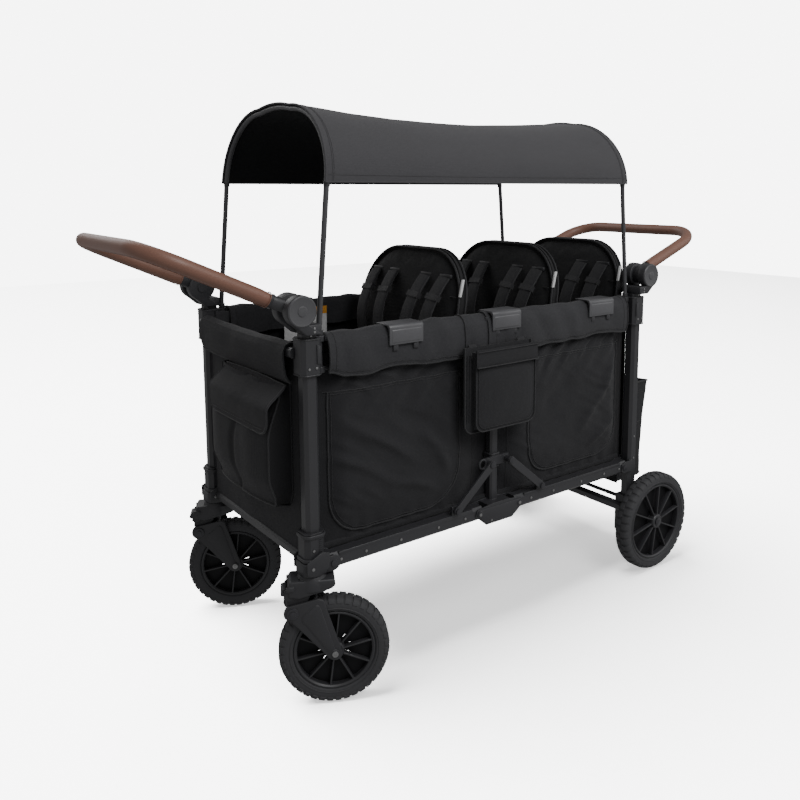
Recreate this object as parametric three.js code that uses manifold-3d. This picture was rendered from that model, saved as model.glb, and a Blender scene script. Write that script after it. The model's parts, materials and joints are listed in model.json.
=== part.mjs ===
// Folding six-seat pull wagon with a canopy: two upright end frames joined by hinged side rails,
// a fabric tub with three rows of seats, swivelling sprung front wheels and braked rear wheels.
// Millimetres, +Z up. The origin is on the floor, midway between the end frames. The front,
// with the swivelling wheels, is towards -X, and the wagon's left side is towards -Y.
import * as THREE from "three";
import { mergeVertices } from "three/addons/utils/BufferGeometryUtils.js";
import Module from "manifold-3d";

const wasm = await Module();
wasm.setup();

// ---- driving dimensions ----
const postX = 555; // half the distance between the front and rear post axes
const postY = 272; // half the distance between the left and right post axes
const tubeWidth = 36; // posts and bottom rails
const tubeChamfer = 8;
const gap = 0.3; // running gap between neighbouring pieces

const bottomRailZ = 330; // axis of the bottom side rails and their hinges
const bottomHingeX = 511; // rail hinge beside each post
const plateHingeX = 70; // rail hinges on the centre hinge plate
const topRailZ = 825;
const topHingeShift = 25; // the top hinges sit this much nearer the middle, front and rear
const topRailY = 257;
const topRailWidth = 22;
const railEndRadius = 12; // how far a rail runs past its hinge axis
const hingePinRadius = 6;

const frontPostFoot = 324;
const rearPostFoot = 150;
const postTop = 861;
const bracketFoot = 768; // top bracket round each post
const bracketTop = 852;
const bracketWidth = 50;

const handlePivotX = 585;
const handlePivotZ = 915;
const handleReach = 337; // pivot axis to the far edge's tube axis
const handleArmY = 252;
const handleBend = 95;
const frontHandleAngle = 24.6; // degrees above level
const rearHandleAngle = 20.7;
const gripRadius = 17;
const handleTubeRadius = 10.5;
const gripStart = 56; // from the pivot axis along the arm
const handleSteps = 20;

const frontWheelRadius = 127;
const frontWheelWidth = 44;
const rearWheelRadius = 150;
const rearWheelWidth = 48;
const rearWheelX = 612;
const wheelSegments = 20;
const rearWheelY = 322;
const casterTrail = 48; // swivel axis to wheel axle
const casterAngle = -27; // both front wheels stand turned by this much about their swivels
const casterPivotX = -45; // sprung arm's pivot, ahead of the swivel axis
const casterPivotZ = 232;
const swivelRadius = 8;
const axleRadius = 6;

const poleX = 521; // canopy pole in its clip
const poleY = 266;
const poleRadius = 6.5;
const poleFoot = 765;
const clipTop = 862; // above this the pole leans towards the middle
const canopyX = 503; // canopy ends at the eaves
const canopyApexX = 485;
const canopyEaves = 1187;
const canopyTop = 1377;
const canopySag = 14; // midway between the hoops
const canopyHalfWidth = 276;
const canopyCorner = 130; // radius of the rounded shoulders
const canopyThickness = 3;
const hoopSteps = 44;

const tubHalfWidth = 238;
const tubFront = -563;
const tubRear = 563;
const tubFloor = 352;
const tubTop = 843;
const fabric = 6;

const seatXs = [-125, 215, 496]; // front face of each seat back at its foot
const seatLean = 4; // degrees that a seat back leans rearward
const seatTop = 1012;
const seatHalfWidth = 226;
const seatThickness = 34;
const benchTop = 560;
const benchThickness = 60;
const benchDepth = 230;

// ---- materials ----
const material = (color, roughness, metalness = 0) =>
  new THREE.MeshStandardMaterial({ color, roughness, metalness });
const paintedSteel = material(0x3a3a3d, 0.45, 0.6);
const darkPlastic = material(0x303033, 0.6);
const tyreFoam = material(0x2c2c2e, 0.9);
const wheelPlastic = material(0x252527, 0.55);
const brownLeather = material(0x76503f, 0.5);
const blackCloth = material(0x1d1d20, 0.95);
const canopyCloth = material(0x444649, 0.9);
const seatCloth = material(0x161618, 0.95);

// ---- solids ----
function solid(geometry) {
  const bare = geometry.index ? geometry.toNonIndexed() : geometry.clone();
  bare.deleteAttribute("normal");
  bare.deleteAttribute("uv");
  const merged = mergeVertices(bare, 1e-3);
  return new wasm.Manifold(
    new wasm.Mesh({
      numProp: 3,
      vertProperties: merged.attributes.position.array,
      triVerts: new Uint32Array(merged.index.array),
    }),
  );
}

function geometryOf(manifold) {
  const mesh = manifold.getMesh();
  return new THREE.BufferGeometry()
    .setAttribute("position", new THREE.BufferAttribute(new Float32Array(mesh.vertProperties), 3))
    .setIndex(new THREE.BufferAttribute(mesh.triVerts, 1));
}

const join = (...solids) => solids.reduce((a, b) => a.add(b));
const cut = (body, ...tools) => tools.reduce((a, b) => a.subtract(b), body);

// A box between two corners, given in any order.
function box(x0, x1, y0, y1, z0, z1) {
  return solid(
    new THREE.BoxGeometry(Math.abs(x1 - x0), Math.abs(y1 - y0), Math.abs(z1 - z0)).translate(
      (x0 + x1) / 2,
      (y0 + y1) / 2,
      (z0 + z1) / 2,
    ),
  );
}

// A rod along Y between y0 and y1.
function rodY(x, z, radius, y0, y1, sides = 12) {
  return solid(
    new THREE.CylinderGeometry(radius, radius, Math.abs(y1 - y0), sides).translate(x, (y0 + y1) / 2, z),
  );
}

function rodZ(x, y, radius, z0, z1, sides = 12) {
  return solid(
    new THREE.CylinderGeometry(radius, radius, z1 - z0, sides)
      .rotateX(Math.PI / 2)
      .translate(x, y, (z0 + z1) / 2),
  );
}

// A square section with its corners cut off.
function chamferedSquare(width, depth, chamfer) {
  const a = width / 2;
  const b = depth / 2;
  return new THREE.Shape([
    new THREE.Vector2(-a + chamfer, -b),
    new THREE.Vector2(a - chamfer, -b),
    new THREE.Vector2(a, -b + chamfer),
    new THREE.Vector2(a, b - chamfer),
    new THREE.Vector2(a - chamfer, b),
    new THREE.Vector2(-a + chamfer, b),
    new THREE.Vector2(-a, b - chamfer),
    new THREE.Vector2(-a, -b + chamfer),
  ]);
}

const flatExtrude = (shape, depth, curveSegments = 6) =>
  new THREE.ExtrudeGeometry(shape, { depth, bevelEnabled: false, curveSegments });

// A chamfered tube standing on end.
function tubeZ(x, y, width, chamfer, z0, z1) {
  return solid(flatExtrude(chamferedSquare(width, width, chamfer), z1 - z0).translate(x, y, z0));
}

// A chamfered tube along Y.
function tubeY(x, z, width, chamfer, y0, y1) {
  return solid(
    flatExtrude(chamferedSquare(width, width, chamfer), y1 - y0)
      .rotateX(Math.PI / 2)
      .translate(x, y1, z),
  );
}

// An outline in the X-Z plane made thick along Y, between y0 and y1.
function plateXZ(points, y0, y1) {
  const shape = new THREE.Shape(points.map(([x, z]) => new THREE.Vector2(x, z)));
  const low = Math.min(y0, y1);
  const high = Math.max(y0, y1);
  return solid(flatExtrude(shape, high - low).rotateX(Math.PI / 2).translate(0, high, 0));
}

// The outline of two discs and the straight sides between them, in the X-Z plane.
function linkOutline(x0, z0, r0, x1, z1, r1, steps = 7) {
  const direction = Math.atan2(z1 - z0, x1 - x0);
  const spread = Math.acos((r0 - r1) / Math.hypot(x1 - x0, z1 - z0));
  const points = [];
  const arc = (x, z, r, from, to) => {
    for (let i = 0; i <= steps; i++) {
      const angle = direction + from + ((to - from) * i) / steps;
      points.push([x + r * Math.cos(angle), z + r * Math.sin(angle)]);
    }
  };
  arc(x1, z1, r1, -spread, spread);
  arc(x0, z0, r0, spread, 2 * Math.PI - spread);
  return points;
}

// A round rod of the given radius, or a sleeve when inner is given, along a path.
function roundAlong(path, radius, steps, sides = 8, inner = 0) {
  const ring = (r) =>
    Array.from({ length: sides }, (_, i) => {
      const angle = (2 * Math.PI * (i + 0.5)) / sides;
      return new THREE.Vector2(r * Math.cos(angle), r * Math.sin(angle));
    });
  const shape = new THREE.Shape(ring(radius));
  if (inner > 0) shape.holes.push(new THREE.Path(ring(inner).reverse()));
  return solid(new THREE.ExtrudeGeometry(shape, { extrudePath: path, steps, bevelEnabled: false }));
}

// A path of straight runs whose corners are rounded to the given radius.
function roundedPath(corners, radius) {
  const path = new THREE.CurvePath();
  let from = corners[0];
  for (let i = 1; i < corners.length - 1; i++) {
    const corner = corners[i];
    const back = from.clone().sub(corner).normalize();
    const on = corners[i + 1].clone().sub(corner).normalize();
    const turn = Math.PI - back.angleTo(on);
    const cutBack = radius * Math.tan(turn / 2);
    const arm = (4 / 3) * Math.tan(turn / 4) * radius;
    const start = corner.clone().addScaledVector(back, cutBack);
    const end = corner.clone().addScaledVector(on, cutBack);
    path.add(new THREE.LineCurve3(from, start));
    path.add(
      new THREE.CubicBezierCurve3(
        start,
        start.clone().addScaledVector(back, -arm),
        end.clone().addScaledVector(on, -arm),
        end,
      ),
    );
    from = end;
  }
  path.add(new THREE.LineCurve3(from, corners[corners.length - 1]));
  return path;
}

const wagon = new THREE.Group();
const ends = [
  { name: "front", x: -1 },
  { name: "rear", x: 1 },
];
const sides = [
  { name: "left", y: -1 },
  { name: "right", y: 1 },
];

function place(name, body, surface, parent = wagon) {
  const mesh = new THREE.Mesh(geometryOf(body), surface);
  mesh.name = name;
  parent.add(mesh);
}

// ---- end frames: two posts welded to cross tubes ----
const crossTubeWidth = 24;
const crossTubeChamfer = 5;
const topCrossX = postX + 22; // outside the posts, where the tub's end walls hang
const topCrossZ = topRailZ - 8;
const floorCrossZ = bottomRailZ + 6;
const lowCrossZ = 195;
const lowCrossX = 530;

function railLugs(end, side, pivotX, pivotZ, y0, y1) {
  return plateXZ(
    [
      [end.x * (postX - 8), pivotZ - 17],
      [end.x * (postX - 8), pivotZ + 17],
      [end.x * pivotX, pivotZ + 17],
      [end.x * (pivotX - 11), pivotZ + 11],
      [end.x * (pivotX - 11), pivotZ - 11],
      [end.x * pivotX, pivotZ - 17],
    ],
    side.y * y0,
    side.y * y1,
  );
}

const outerLug = [postY + tubeWidth / 2 + gap, postY + tubeWidth / 2 + 3.5];
const innerLug = [postY - tubeWidth / 2 - 3.5, postY - tubeWidth / 2 - gap];

for (const end of ends) {
  const foot = end.x < 0 ? frontPostFoot : rearPostFoot;
  const crossHalf = postY - tubeWidth / 2 + 4;
  let frame = join(
    tubeZ(end.x * postX, -postY, tubeWidth, tubeChamfer, foot, postTop),
    tubeZ(end.x * postX, postY, tubeWidth, tubeChamfer, foot, postTop),
    tubeY(end.x * topCrossX, topCrossZ, crossTubeWidth, crossTubeChamfer, -crossHalf, crossHalf),
    tubeY(end.x * postX, floorCrossZ, crossTubeWidth, crossTubeChamfer, -crossHalf, crossHalf),
  );
  if (end.x > 0) {
    // The rear posts run down to the axle blocks and carry the rail hinges on welded lugs.
    frame = join(
      frame,
      tubeY(lowCrossX, lowCrossZ, crossTubeWidth, crossTubeChamfer, -postY, postY),
      ...sides.flatMap((side) => [
        railLugs(end, side, bottomHingeX, bottomRailZ, outerLug[0] - 4, outerLug[1]),
        railLugs(end, side, bottomHingeX, bottomRailZ, innerLug[0], innerLug[1] + 4),
      ]),
    );
    for (const side of sides) {
      const bay = tubeWidth / 2 + gap;
      frame = cut(
        frame,
        box(postX - 18, 470, side.y * (postY - bay), side.y * (postY + bay), bottomRailZ - 40, bottomRailZ + 40),
      );
    }
    frame = join(
      frame,
      ...sides.map((side) =>
        rodY(bottomHingeX, bottomRailZ, hingePinRadius, side.y * innerLug[0], side.y * outerLug[1]),
      ),
    );
  }
  place(end.name + "_frame", frame, paintedSteel);
}

// ---- caster sockets: moulded feet of the front posts, with the rail hinge and swivel pin ----
const socketFoot = 312;
const socketTop = 412;
const socketWidth = 50;
const swivelPinFoot = 281;

for (const side of sides) {
  const end = ends[0];
  const body = join(
    tubeZ(-postX, side.y * postY, socketWidth, 11, socketFoot, socketTop),
    railLugs(end, side, bottomHingeX, bottomRailZ + 1, outerLug[0], outerLug[1] + 3),
    railLugs(end, side, bottomHingeX, bottomRailZ + 1, innerLug[0] - 3, innerLug[1]),
  );
  const hollow = tubeZ(
    -postX,
    side.y * postY,
    tubeWidth + 2 * gap,
    tubeChamfer,
    frontPostFoot - gap,
    socketTop + 1,
  );
  const bay = box(
    -postX + tubeWidth / 2 + 2,
    -470,
    side.y * (postY - tubeWidth / 2 - gap),
    side.y * (postY + tubeWidth / 2 + gap),
    bottomRailZ - 40,
    bottomRailZ + 34,
  );
  const crossSlot = tubeY(
    -postX,
    floorCrossZ,
    crossTubeWidth + 2 * gap,
    crossTubeChamfer,
    side.y > 0 ? 200 : 10 - postY,
    side.y > 0 ? postY - 10 : -200,
  );
  place(
    "caster_socket_" + side.name,
    join(
      cut(body, hollow, bay, crossSlot),
      rodY(-bottomHingeX, bottomRailZ, hingePinRadius, side.y * (innerLug[0] - 3), side.y * (outerLug[1] + 3)),
      rodZ(-postX, side.y * postY, swivelRadius, swivelPinFoot, socketFoot + 5),
    ),
    darkPlastic,
  );
}

// ---- rear axle blocks: moulded feet of the rear posts, each with a fixed stub axle ----
const rearAxleRadius = 8;
const brakeShaftX = 592;
const brakeShaftZ = 196;
const brakeShaftRadius = 6;
const axleBlockInner = postY - 26;
const axleBlockOuter = postY + 22;

for (const side of sides) {
  const inner = side.y * axleBlockInner;
  const outer = side.y * axleBlockOuter;
  const outline = [
    [postX - 26, 118],
    [postX + 40, 118],
    [rearWheelX + 22, 132],
    [rearWheelX + 24, 166],
    [brakeShaftX + 14, 214],
    [postX + 26, 232],
    [postX - 26, 232],
  ];
  const body = cut(
    plateXZ(outline, inner, outer),
    tubeZ(postX, side.y * postY, tubeWidth + 2 * gap, tubeChamfer, rearPostFoot - gap, 240),
    box(500, lowCrossX + 12 + gap, -300, 300, lowCrossZ - 12 - gap, lowCrossZ + 12 + gap),
    rodY(brakeShaftX, brakeShaftZ, brakeShaftRadius + 0.6, inner - side.y * 5, inner + side.y * 34),
  );
  place(
    "rear_axle_block_" + side.name,
    join(
      body,
      rodY(rearWheelX, rearWheelRadius, rearAxleRadius, inner + side.y * 12, side.y * (rearWheelY + 27)),
    ),
    darkPlastic,
  );
}

// ---- brake pedal: a cross shaft turning in the axle blocks, with the foot lever in the middle ----
place(
  "brake_pedal",
  join(
    rodY(brakeShaftX, brakeShaftZ, brakeShaftRadius, -(axleBlockInner + 30), axleBlockInner + 30, 12),
    plateXZ(
      [
        [brakeShaftX - 11, brakeShaftZ - 9],
        [brakeShaftX + 92, brakeShaftZ - 2],
        [brakeShaftX + 98, brakeShaftZ + 10],
        [brakeShaftX + 88, brakeShaftZ + 16],
        [brakeShaftX, brakeShaftZ + 11],
        [brakeShaftX - 11, brakeShaftZ + 5],
      ],
      -46,
      46,
    ),
  ),
  darkPlastic,
);

// ---- top brackets: clamped round the posts, with the top rail hinge and the canopy clip ----
const topHingeX = bottomHingeX - topHingeShift;
const topLug = [topRailY - topRailWidth / 2 - 4, topRailY - topRailWidth / 2 - gap];

for (const end of ends)
  for (const side of sides) {
    const x = end.x * postX;
    const y = side.y * postY;
    const lug = plateXZ(
      [
        [end.x * (postX - 6), topRailZ - 30],
        [end.x * (postX - 6), topRailZ + 22],
        [end.x * topHingeX, topRailZ + 16],
        [end.x * (topHingeX - 14), topRailZ + 8],
        [end.x * (topHingeX - 14), topRailZ - 8],
        [end.x * topHingeX, topRailZ - 16],
      ],
      side.y * topLug[0],
      side.y * topLug[1],
    );
    const ring = (z0, z1) => rodZ(end.x * poleX, side.y * poleY, poleRadius + 5, z0, z1);
    const arm = (z0, z1) =>
      box(x, end.x * poleX, side.y * (poleY - 5), side.y * (poleY + 5), z0, z1);
    const body = cut(
      join(
        tubeZ(x, y, bracketWidth, 9, bracketFoot, bracketTop),
        lug,
        box(
          end.x * (postX - 28),
          end.x * (postX - 14),
          side.y * topLug[0],
          side.y * topRailY,
          topRailZ - 30,
          topRailZ + 20,
        ),
        ring(bracketTop - 14, bracketTop),
        arm(bracketTop - 14, bracketTop),
        ring(bracketFoot, bracketFoot + 14),
        arm(bracketFoot, bracketFoot + 14),
      ),
      tubeZ(x, y, tubeWidth + 2 * gap, tubeChamfer, bracketFoot - 1, bracketTop + 1),
      rodZ(end.x * poleX, side.y * poleY, poleRadius + 0.8, bracketFoot - 1, bracketTop + 1),
      // clearance for the cross tube between the posts
      tubeY(
        end.x * topCrossX,
        topCrossZ,
        crossTubeWidth + 2 * gap,
        crossTubeChamfer,
        side.y > 0 ? 200 : -(postY - 10),
        side.y > 0 ? postY - 10 : -200,
      ),
    );
    place(
      "top_bracket_" + end.name + "_" + side.name,
      join(
        body,
        rodY(end.x * topHingeX, topRailZ, hingePinRadius, side.y * topLug[0], side.y * (topRailY + 13)),
      ),
      darkPlastic,
    );
  }

// ---- handle hubs: a yoke on each post top that holds the handle's knuckle ----
const hubRadius = 35;
const hubOuter = [postY + 15, postY + 38];
const hubInner = [postY - 36, postY - 11];
const knuckleRadius = 27;
const hubPinRadius = 7;
const buttonRadius = 13;
const buttonDepth = 10;

const hubNeckX = [postX - tubeWidth / 2, handlePivotX - 10]; // clear of the arm when it hangs down
const hubSeatZ = handlePivotZ - knuckleRadius - 3;
const hubDiscRadius = 24; // raised disc on the outer cheek
const hubDiscHeight = 4;

// One cheek of the yoke: a round head on a neck that is about as wide as the post.
function hubCheek(end, side, ys) {
  return join(
    rodY(end.x * handlePivotX, handlePivotZ, hubRadius, side.y * ys[0], side.y * ys[1], 24),
    box(
      end.x * hubNeckX[0],
      end.x * hubNeckX[1],
      side.y * ys[0],
      side.y * ys[1],
      postTop + gap,
      handlePivotZ,
    ),
  );
}

for (const end of ends)
  for (const side of sides) {
    const yoke = join(
      hubCheek(end, side, hubOuter),
      hubCheek(end, side, hubInner),
      box(
        end.x * hubNeckX[0],
        end.x * hubNeckX[1],
        side.y * hubInner[0],
        side.y * hubOuter[1],
        postTop + gap,
        hubSeatZ,
      ),
      rodY(
        end.x * handlePivotX,
        handlePivotZ,
        hubPinRadius,
        side.y * (hubInner[0] + 14),
        side.y * (hubOuter[0] + 6),
      ),
      rodY(
        end.x * handlePivotX,
        handlePivotZ,
        hubDiscRadius,
        side.y * hubOuter[1],
        side.y * (hubOuter[1] + hubDiscHeight),
        16,
      ),
    );
    const buttonWell = rodY(
      end.x * handlePivotX,
      handlePivotZ,
      buttonRadius + 0.6,
      side.y * (hubInner[0] - 5),
      side.y * (hubInner[0] + buttonDepth),
      16,
    );
    const where = end.name + "_" + side.name;
    place("handle_hub_" + where, cut(yoke, buttonWell), darkPlastic);
    place(
      "release_button_" + where,
      rodY(
        end.x * handlePivotX,
        handlePivotZ,
        buttonRadius,
        side.y * (hubInner[0] - 3),
        side.y * (hubInner[0] + buttonDepth - 4.5),
        16,
      ),
      darkPlastic,
    );
  }

// ---- handles: a U-shaped tube with a knuckle at each end, and the padded grip over it ----
function handlePath(from, reach) {
  return roundedPath(
    [
      new THREE.Vector3(from, -handleArmY, 0),
      new THREE.Vector3(reach, -handleArmY, 0),
      new THREE.Vector3(reach, handleArmY, 0),
      new THREE.Vector3(from, handleArmY, 0),
    ],
    handleBend,
  );
}

const knuckleClear = 0.8; // beside each cheek
const knuckleY = [hubInner[1] + knuckleClear, hubOuter[0] - knuckleClear];
const neckStart = 6; // the neck between the knuckle's disc and the grip, from the pivot axis
const neckHalfHeight = 15;
const socketStart = hubRadius + 2; // the arm's socket begins outside the cheeks
const socketHalfHeight = 13;

for (const end of ends) {
  const angle = end.x < 0 ? frontHandleAngle : rearHandleAngle;
  const handle = new THREE.Group();
  handle.position.set(end.x * handlePivotX, 0, handlePivotZ);
  handle.rotation.y = THREE.MathUtils.degToRad(end.x < 0 ? angle : -angle);
  wagon.add(handle);
  const knuckles = sides.map((side) =>
    cut(
      join(
        rodY(0, 0, knuckleRadius, side.y * knuckleY[0], side.y * knuckleY[1], 20),
        box(
          end.x * socketStart,
          end.x * (gripStart - 1),
          side.y * (handleArmY - socketHalfHeight + 1),
          side.y * knuckleY[0],
          -socketHalfHeight,
          socketHalfHeight,
        ),
        box(
          end.x * neckStart,
          end.x * (gripStart - 1),
          side.y * knuckleY[0],
          side.y * knuckleY[1],
          -neckHalfHeight,
          neckHalfHeight,
        ),
      ),
      rodY(0, 0, hubPinRadius + knuckleClear, side.y * hubInner[0], side.y * hubOuter[1]),
    ),
  );
  const tube = roundAlong(handlePath(end.x * (gripStart - 12), end.x * handleReach), handleTubeRadius, handleSteps);
  place("handle_" + end.name + "_tube", join(tube, ...knuckles), darkPlastic, handle);
  place(
    "handle_" + end.name + "_grip",
    roundAlong(
      handlePath(end.x * gripStart, end.x * handleReach),
      gripRadius,
      handleSteps,
      8,
      handleTubeRadius + 2.2,
    ),
    brownLeather,
    handle,
  );
}

// ---- side rails: each side has a hinged bottom pair and a hinged top pair ----
function rail(end, from, to, z, y, width, height) {
  const chamfer = Math.min(width, height) / 5;
  const shape = chamferedSquare(width, height, chamfer);
  const length = to - from + 2 * railEndRadius;
  const tube = flatExtrude(shape, length)
    .rotateX(Math.PI / 2)
    .rotateZ(Math.PI / 2)
    .translate(from - railEndRadius, y, z);
  return cut(
    solid(tube),
    rodY(from, z, hingePinRadius + 0.8, y - 40, y + 40),
    rodY(to, z, hingePinRadius + 0.8, y - 40, y + 40),
  );
}

const braceFootX = 150;
const braceFootZ = 360;
const braceY = [postY + tubeWidth / 2 + 4.7, postY + tubeWidth / 2 + 10.7];

for (const end of ends)
  for (const side of sides) {
    const y = side.y * postY;
    const [from, to] = end.x < 0 ? [-bottomHingeX, -plateHingeX] : [plateHingeX, bottomHingeX];
    const lug = join(
      box(
        end.x * braceFootX - 11,
        end.x * braceFootX + 11,
        side.y * (postY + tubeWidth / 2 - 8),
        side.y * (postY + tubeWidth / 2),
        bottomRailZ + 6,
        braceFootZ + 11,
      ),
      rodY(
        end.x * braceFootX,
        braceFootZ,
        4,
        side.y * (postY + tubeWidth / 2 - 4),
        side.y * (braceY[1] + 2),
        12,
      ),
    );
    place(
      "bottom_rail_" + end.name + "_" + side.name,
      join(rail(end, from, to, bottomRailZ, y, tubeWidth, tubeWidth), lug),
      paintedSteel,
    );
    const topFrom = end.x < 0 ? from + topHingeShift : from - topHingeShift;
    const topTo = end.x < 0 ? to + topHingeShift : to - topHingeShift;
    place(
      "top_rail_" + end.name + "_" + side.name,
      rail(end, topFrom, topTo, topRailZ, side.y * topRailY, topRailWidth, tubeWidth),
      paintedSteel,
    );
  }

// ---- centre posts: the upright between the hinge plate and the top hinge on each side ----
const centrePostWidth = 26;
const plateHalf = 84;

for (const side of sides) {
  const at = (y0, y1) => [side.y * y0, side.y * y1];
  const plateOutline = [
    [-plateHalf, bottomRailZ - 4],
    [-48, bottomRailZ - 34],
    [44, bottomRailZ - 34],
    [plateHalf, bottomRailZ - 4],
    [plateHalf - 6, bottomRailZ + 14],
    [22, bottomRailZ + 20],
    [-22, bottomRailZ + 20],
    [-plateHalf + 6, bottomRailZ + 14],
  ];
  const pins = [-plateHingeX, plateHingeX].map((x) =>
    rodY(x, bottomRailZ, hingePinRadius, ...at(innerLug[0], outerLug[1])),
  );
  const topX = plateHingeX - topHingeShift;
  const topPins = [-topX, topX].map((x) =>
    rodY(x, topRailZ, hingePinRadius, ...at(topLug[0], topRailY + topRailWidth / 2 + 3)),
  );
  place(
    "centre_post_" + side.name,
    join(
      plateXZ(plateOutline, ...at(...outerLug)),
      plateXZ(plateOutline, ...at(...innerLug)),
      box(-40, 40, ...at(innerLug[0], outerLug[0] + 1), bottomRailZ - 24, bottomRailZ + 18),
      tubeZ(0, side.y * topRailY, centrePostWidth, 5, bottomRailZ, topRailZ + 22),
      box(-plateHingeX + 8, plateHingeX - 8, ...at(...topLug), topRailZ - 13, topRailZ + 13),
      box(-48, 48, ...at(topRailY + topRailWidth / 2 + gap, postY + 12), topRailZ - 16, topRailZ + 22),
      ...pins,
      ...topPins,
    ),
    paintedSteel,
  );
}

// ---- knee braces: a collar sliding on each centre post and two braces down to the rails ----
const collarZ = 458;
const collarWidth = 33;
const braceHeadX = 33;

for (const side of sides) {
  const sleeve = cut(
    join(
      tubeZ(0, side.y * topRailY, collarWidth, 5, collarZ - 19, collarZ + 19),
      box(
        -braceHeadX - 10,
        braceHeadX + 10,
        side.y * (topRailY + collarWidth / 2 - 3),
        side.y * (topRailY + collarWidth / 2 + 4),
        collarZ - 12,
        collarZ + 12,
      ),
    ),
    tubeZ(0, side.y * topRailY, centrePostWidth + 1, 5, collarZ - 20, collarZ + 20),
  );
  const bosses = [-braceHeadX, braceHeadX].map((x) =>
    rodY(x, collarZ, 8, side.y * (topRailY + collarWidth / 2 + 2), side.y * (braceY[0] - gap), 12),
  );
  place("brace_collar_" + side.name, join(sleeve, ...bosses), darkPlastic);
  for (const end of ends)
    place(
      "brace_" + end.name + "_" + side.name,
      cut(
        plateXZ(
          linkOutline(end.x * braceFootX, braceFootZ, 10, end.x * braceHeadX, collarZ, 10),
          side.y * braceY[0],
          side.y * braceY[1],
        ),
        rodY(end.x * braceFootX, braceFootZ, 4.8, side.y * 280, side.y * 320, 12),
      ),
      paintedSteel,
    );
}

// ---- wheels: a foam tyre on a spoked plastic rim ----
function turned(profile, segments = wheelSegments) {
  const points = profile.map(([r, y]) => new THREE.Vector2(r, y));
  points.push(points[0].clone());
  // A flat of the turned outline faces straight down.
  return solid(new THREE.LatheGeometry(points, segments, Math.PI / segments));
}

function tyre(radius, width) {
  const half = width / 2;
  const flat = radius / Math.cos(Math.PI / wheelSegments);
  const inner = radius - 33;
  return turned([
    [inner, half - 5],
    [inner, 5 - half],
    [inner + 12, -half + 1],
    [radius - 12, -half],
    [flat, -half + 9],
    [flat, half - 9],
    [radius - 12, half],
    [inner + 12, half - 1],
  ]);
}

function rim(radius, width, bore) {
  const half = width / 2;
  const outer = radius - 33 - 0.5;
  const barrel = turned([
    [outer - 9, half - 6],
    [outer - 9, 6 - half],
    [outer, 6 - half],
    [outer, half - 6],
  ]);
  const hub = turned(
    [
      [bore + 0.8, half + 1],
      [bore + 0.8, -half - 1],
      [22, -half - 1],
      [22, half + 1],
    ],
    12,
  );
  const web = turned([
    [bore + 4, 3],
    [bore + 4, -3],
    [outer - 4, -3],
    [outer - 4, 3],
  ]);
  const spokes = Array.from({ length: 10 }, (_, i) => {
    const bar = new THREE.BoxGeometry(outer - 24, width - 16, 4);
    return solid(bar.translate((outer + 16) / 2, 0, 0).rotateY((Math.PI * i) / 5 + 0.16));
  });
  return join(barrel, hub, web, ...spokes);
}

for (const side of sides) {
  const wheel = new THREE.Group();
  wheel.position.set(rearWheelX, side.y * rearWheelY, rearWheelRadius);
  wagon.add(wheel);
  place("rear_tyre_" + side.name, tyre(rearWheelRadius, rearWheelWidth), tyreFoam, wheel);
  place("rear_rim_" + side.name, rim(rearWheelRadius, rearWheelWidth, rearAxleRadius), wheelPlastic, wheel);
}

// ---- casters: a swivelling yoke, a sprung arm on its front, and the wheel in the arm ----
const yokeTop = socketFoot - gap;
const yokeFoot = 277;
const armInner = frontWheelWidth / 2 + 2.5;
const armOuter = armInner + 7;
const barrelRadius = 10.5;

for (const side of sides) {
  const caster = new THREE.Group();
  caster.position.set(-postX, side.y * postY, 0);
  caster.rotation.z = THREE.MathUtils.degToRad(casterAngle);
  wagon.add(caster);

  const yokeBody = join(
    solid(
      new THREE.CylinderGeometry(27, 32, yokeTop - yokeFoot, 20)
        .rotateX(Math.PI / 2)
        .translate(0, 0, (yokeTop + yokeFoot) / 2),
    ),
    plateXZ(
      [
        [casterPivotX - 8, casterPivotZ],
        [casterPivotX + 14, casterPivotZ + 8],
        [-10, yokeFoot + 2],
        [-10, yokeTop - 6],
        [casterPivotX + 12, yokeTop - 6],
        [casterPivotX - 10, yokeTop - 24],
      ],
      -armInner + 1,
      armInner - 1,
    ),
    rodY(casterPivotX, casterPivotZ, barrelRadius, -armInner + 1, armInner - 1),
  );
  place(
    "caster_yoke_" + side.name,
    cut(
      yokeBody,
      rodZ(0, 0, swivelRadius + 0.6, yokeFoot + 3.5, yokeTop + 1),
      rodY(casterPivotX, casterPivotZ, axleRadius + 0.6, -60, 60),
    ),
    darkPlastic,
    caster,
  );

  const armOutline = linkOutline(
    casterPivotX,
    casterPivotZ,
    21,
    casterTrail,
    frontWheelRadius,
    16,
  );
  place(
    "caster_arm_" + side.name,
    join(
      plateXZ(armOutline, armInner, armOuter),
      plateXZ(armOutline, -armOuter, -armInner),
      rodY(casterPivotX, casterPivotZ, axleRadius, -armOuter - 4, armOuter + 4, 12),
      rodY(casterTrail, frontWheelRadius, axleRadius, -armOuter - 3, armOuter + 3, 12),
    ),
    darkPlastic,
    caster,
  );

  const wheel = new THREE.Group();
  wheel.position.set(casterTrail, 0, frontWheelRadius);
  caster.add(wheel);
  place("front_tyre_" + side.name, tyre(frontWheelRadius, frontWheelWidth), tyreFoam, wheel);
  place("front_rim_" + side.name, rim(frontWheelRadius, frontWheelWidth, axleRadius), wheelPlastic, wheel);
}

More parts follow.
